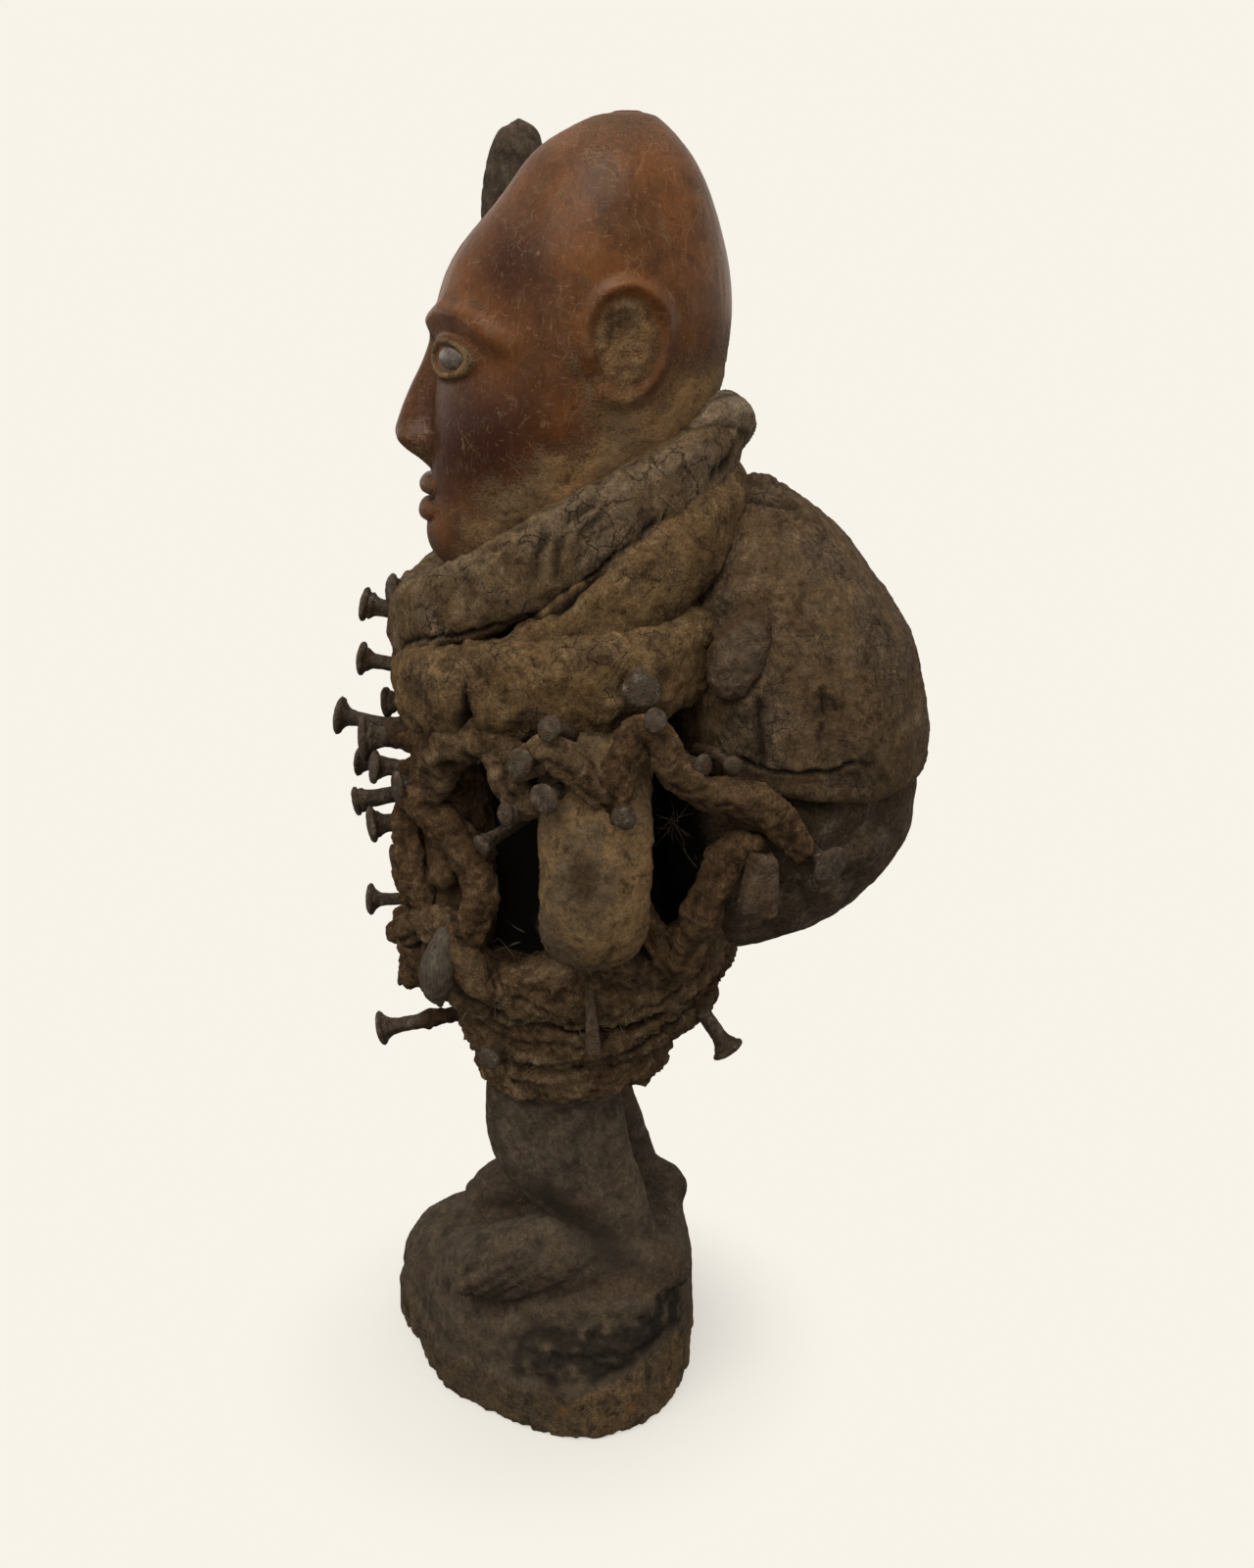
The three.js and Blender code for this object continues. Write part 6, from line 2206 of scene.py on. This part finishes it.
@dataclass
class Charms:
    """The seed pod at the hip, the two inlaid eyes, and loose fibres and barbs.

    Attributes:
        pod: x, y, z and two half widths of the pod.
        eye: Centre of the left eye.
        eye_half: Its half sizes.
        eye_turn: How far it is turned towards the temple, in radians.
        tuft: Where the feather's barbs come out.
    """

    pod: Rows = (
        (51, -29, 219, 0.8, 0.8), (53, -31, 209, 4.5, 4), (54, -33, 199, 6.5, 5.5),
        (53, -34, 190, 4.5, 4), (51, -33, 184, 0.8, 0.8),
    )
    eye: tuple[float, float, float] = (22.5, -23.6, 418)
    eye_half: tuple[float, float, float] = (9.2, 3.6, 4.7)
    eye_turn: float = 0.53
    tuft: tuple[float, float, float] = (50, 54, 256)

    def _pod(self) -> None:
        """The pod, with a raised seam down each side and a few dents."""
        skin = bar(self.pod, (1, 0, 0), 70, 48, cap=0.8)
        turn = turns(skin.points.shape[1])[None, :]
        seam = ridge(np.abs(np.sin(turn)), 0.16)
        skin.push(0.6 * seam + 0.45 * GRAIN.rough(skin.points, 6, 3, 4.8))
        dress_skin("seed_pod_husk", skin, HUSK, "seed_pod")

    def _eyes(self) -> None:
        """Two flattened eggs of glass, each turned about z towards its own temple."""
        cos, sin = math.cos(self.eye_turn), math.sin(self.eye_turn)
        for node, hand in (("eye_inlay_left", LEFT), ("eye_inlay_right", RIGHT)):
            skin = egg((0, 0, 0), self.eye_half, 40, 56)
            x, y, z = np.moveaxis(skin.points, -1, 0)
            turned = np.stack([x * cos - hand * y * sin, hand * x * sin + y * cos, z], -1)
            skin.points = turned + np.array((hand * self.eye[0], *self.eye[1:]))
            skin.push(0.1 * GRAIN.waves(skin.points, 4, 6.5))
            dress_skin(node + "_glass", skin, GLASS, node)

    @staticmethod
    def _whisker(start: Array, way: Array, long: float, bend: Array, thick: float) -> Skin:
        """A thin fibre: a straight line plus a bend that grows with the square of the share."""
        share = np.linspace(0, 1, 7)[:, None]
        path = start + way * long * share + bend * share**2
        rows = np.hstack([path, np.full((7, 2), thick)])
        rows[-1, 3:] *= 0.4
        return bar(rows, (0.3, 0.4, 0.87), 7, 4, cap=0.05)

    def _bunch(
        self, name: str, anchors: Sequence[Sequence[float]], count: int, long: float, spread: Array,
        thick: float, seed: int,
    ) -> None:
        """Fibres that start near the anchors, as one piece.

        Args:
            name: The piece's name.
            anchors: Points that they start from.
            count: How many start at each anchor.
            long: Their usual length.
            spread: How far a start is from its anchor, for each axis.
            thick: Half thickness of a fibre.
            seed: What their unevenness comes from.
        """
        rng = np.random.default_rng(seed)
        fibres = []
        for anchor in anchors:
            for _ in range(count):
                root = np.asarray(anchor, float) + rng.normal(size=3) * spread
                way = rng.normal(size=3) + np.array([0.9, 0, 0])
                way /= np.linalg.norm(way)
                bend = rng.normal(size=3) * long * 0.25
                fibres.append(self._whisker(root, way, long * rng.uniform(0.5, 1.3), bend, thick))
        mesh = gathered(name, fibres)
        dress(name, mesh, STRAW, [])

    def make(self) -> None:
        """Builds the pod, the eyes, the barbs and the loose fibres."""
        self._pod()
        self._eyes()
        self._bunch("feather_barbs", [self.tuft], 26, 9, np.array([0.6, 0.8, 0.8]), 0.12, 7)
        hips = [(58, -8, 186), (60, 12, 184), (61, 30, 182), (58, 46, 186), (52, 2, 162), (54, 24, 164)]
        self._bunch("hip_fibres", hips, 8, 7, np.array([0.6, 6, 3]), 0.12, 8)
        voids = [(44, -12, 214), (46, -6, 208), (44, 62, 240), (46, 66, 232)]
        self._bunch("void_fibres", voids, 4, 12, np.array([1.5, 3, 4]), 0.16, 9)


# Studio


@dataclass
class Studio:
    """A pale floor under an even sky, soft light from the upper front, and the camera.

    Attributes:
        backdrop: Colour of floor and sky.
        target: Point that the camera looks at.
        distance: From that point to the camera.
        pitch: How far the camera looks down, in degrees.
        lens: Focal length on a long side of 36.
        wall: Brightness of the sky above the horizon, as a share of the backdrop.
        crown: How much brighter it is overhead.
        under: Its brightness below the horizon, which stands in for a dark table.
        sun: Strength of the soft light.
        sun_spread: How wide it is, in degrees.
        sun_from: Direction that it comes from.
        floor_share: How much of the light that falls on it the floor gives back near the base.
        floor_light: What the free floor gives back there, as a share of the backdrop.
        shadow_reach: Where the floor's own glow takes over, from and to, in metres.
    """

    backdrop: Colour = (0.939, 0.896, 0.815)
    target: tuple[float, float, float] = (0, 37, 254.3)
    distance: float = 695
    pitch: float = 18
    lens: float = 40.95
    wall: float = 0.45
    crown: float = 0.75
    under: float = 0.22
    sun: float = 1.9
    sun_spread: float = 50
    sun_from: tuple[float, float, float] = (0.5, -0.2, 0.85)
    floor_share: float = 0.34
    floor_light: float = 1.37
    shadow_reach: tuple[float, float] = (0.07, 0.135)

    def _camera(self) -> None:
        """The camera, on the figure's left and a little above it."""
        lens = bpy.data.cameras.new("camera")
        lens.lens = self.lens
        lens.sensor_width = 36
        lens.clip_start = 0.02
        lens.clip_end = 60
        camera = bpy.data.objects.new("camera", lens)
        pitch = math.radians(self.pitch)
        look = Vector((-math.cos(pitch), 0, -math.sin(pitch)))
        camera.location = (Vector(self.target) - look * self.distance) * METRES
        camera.rotation_euler = look.to_track_quat("-Z", "Y").to_euler()
        bpy.context.scene.collection.objects.link(camera)
        bpy.context.scene.camera = camera

    def _floor(self) -> None:
        """A wide round floor that looks like the sky where nothing shades it."""
        around = 96
        turn = turns(around)
        rim = np.stack([np.cos(turn), np.sin(turn), 0 * turn], 1) * 30000
        points = np.vstack([[0, 0, 0], rim])
        index = 1 + np.arange(around)
        caps = np.stack([np.zeros(around, int), index, np.roll(index, -1)], 1)
        mesh = mesh_of("floor", points, np.zeros((0, 4), int), caps)
        floor = bpy.data.objects.new("floor", mesh)
        floor.location.z = -0.0002
        bpy.context.scene.collection.objects.link(floor)
        material = bpy.data.materials.new("pale_floor")
        material.use_nodes = True
        bench = Bench(material.node_tree, "Principled BSDF", "Object")
        near = bench.span(bench.away(), *self.shadow_reach, 1, 0)
        lost = bench.sum("MULTIPLY", near, self.floor_share * self.floor_light)
        bench.set(
            Base_Color=bench.mix(near, (0.0, 0.0, 0.0), (self.floor_share,) * 3), Roughness=1.0,
            Specular_IOR_Level=0.0, Emission_Color=self.backdrop,
            Emission_Strength=bench.sum("SUBTRACT", 1, lost),
        )
        mesh.materials.append(material)
        floor.visible_diffuse = False
        floor.visible_glossy = False

    def _light(self) -> None:
        """The sky and the soft light."""
        scene = bpy.context.scene
        scene.view_settings.view_transform = "Standard"
        world = bpy.data.worlds.new("sky")
        world.use_nodes = True
        sky = Bench(world.node_tree, "Background", "Generated")
        split = sky.tree.nodes.new("ShaderNodeSeparateXYZ")
        sky.tree.links.new(sky.place, split.inputs[0])
        rise = split.outputs["Z"]
        wall = sky.span(rise, 0.1, 0.3, 1, self.wall)
        crown = sky.span(rise, 0.35, 1.0, 0, self.crown)
        under = sky.span(rise, -0.12, -0.04, self.under - 1, 0)
        sky.set(Color=self.backdrop, Strength=sky.sum("ADD", wall, sky.sum("ADD", crown, under)))
        scene.world = world
        lamp = bpy.data.lights.new("soft_light", "SUN")
        lamp.energy = self.sun
        lamp.angle = math.radians(self.sun_spread)
        lamp.color = self.backdrop
        light = bpy.data.objects.new("soft_light", lamp)
        light.rotation_euler = Vector(self.sun_from).to_track_quat("Z", "Y").to_euler()
        scene.collection.objects.link(light)

    def make(self) -> None:
        """Sets camera, floor and light."""
        self._camera()
        self._floor()
        self._light()


def main() -> None:
    logging.basicConfig(level=logging.INFO, format="%(message)s")
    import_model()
    Studio().make()
    Head().make()
    Body().make()
    for wrap in WRAPS:
        wrap.make()
    HipCrust().make()
    Knot().make()
    Bundle().make()
    BellyPack().make()
    for node, strip in STRIPS.items():
        strip.make(node)
    Ironwork().make()
    Charms().make()
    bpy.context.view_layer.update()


if __name__ == "__main__":
    main()
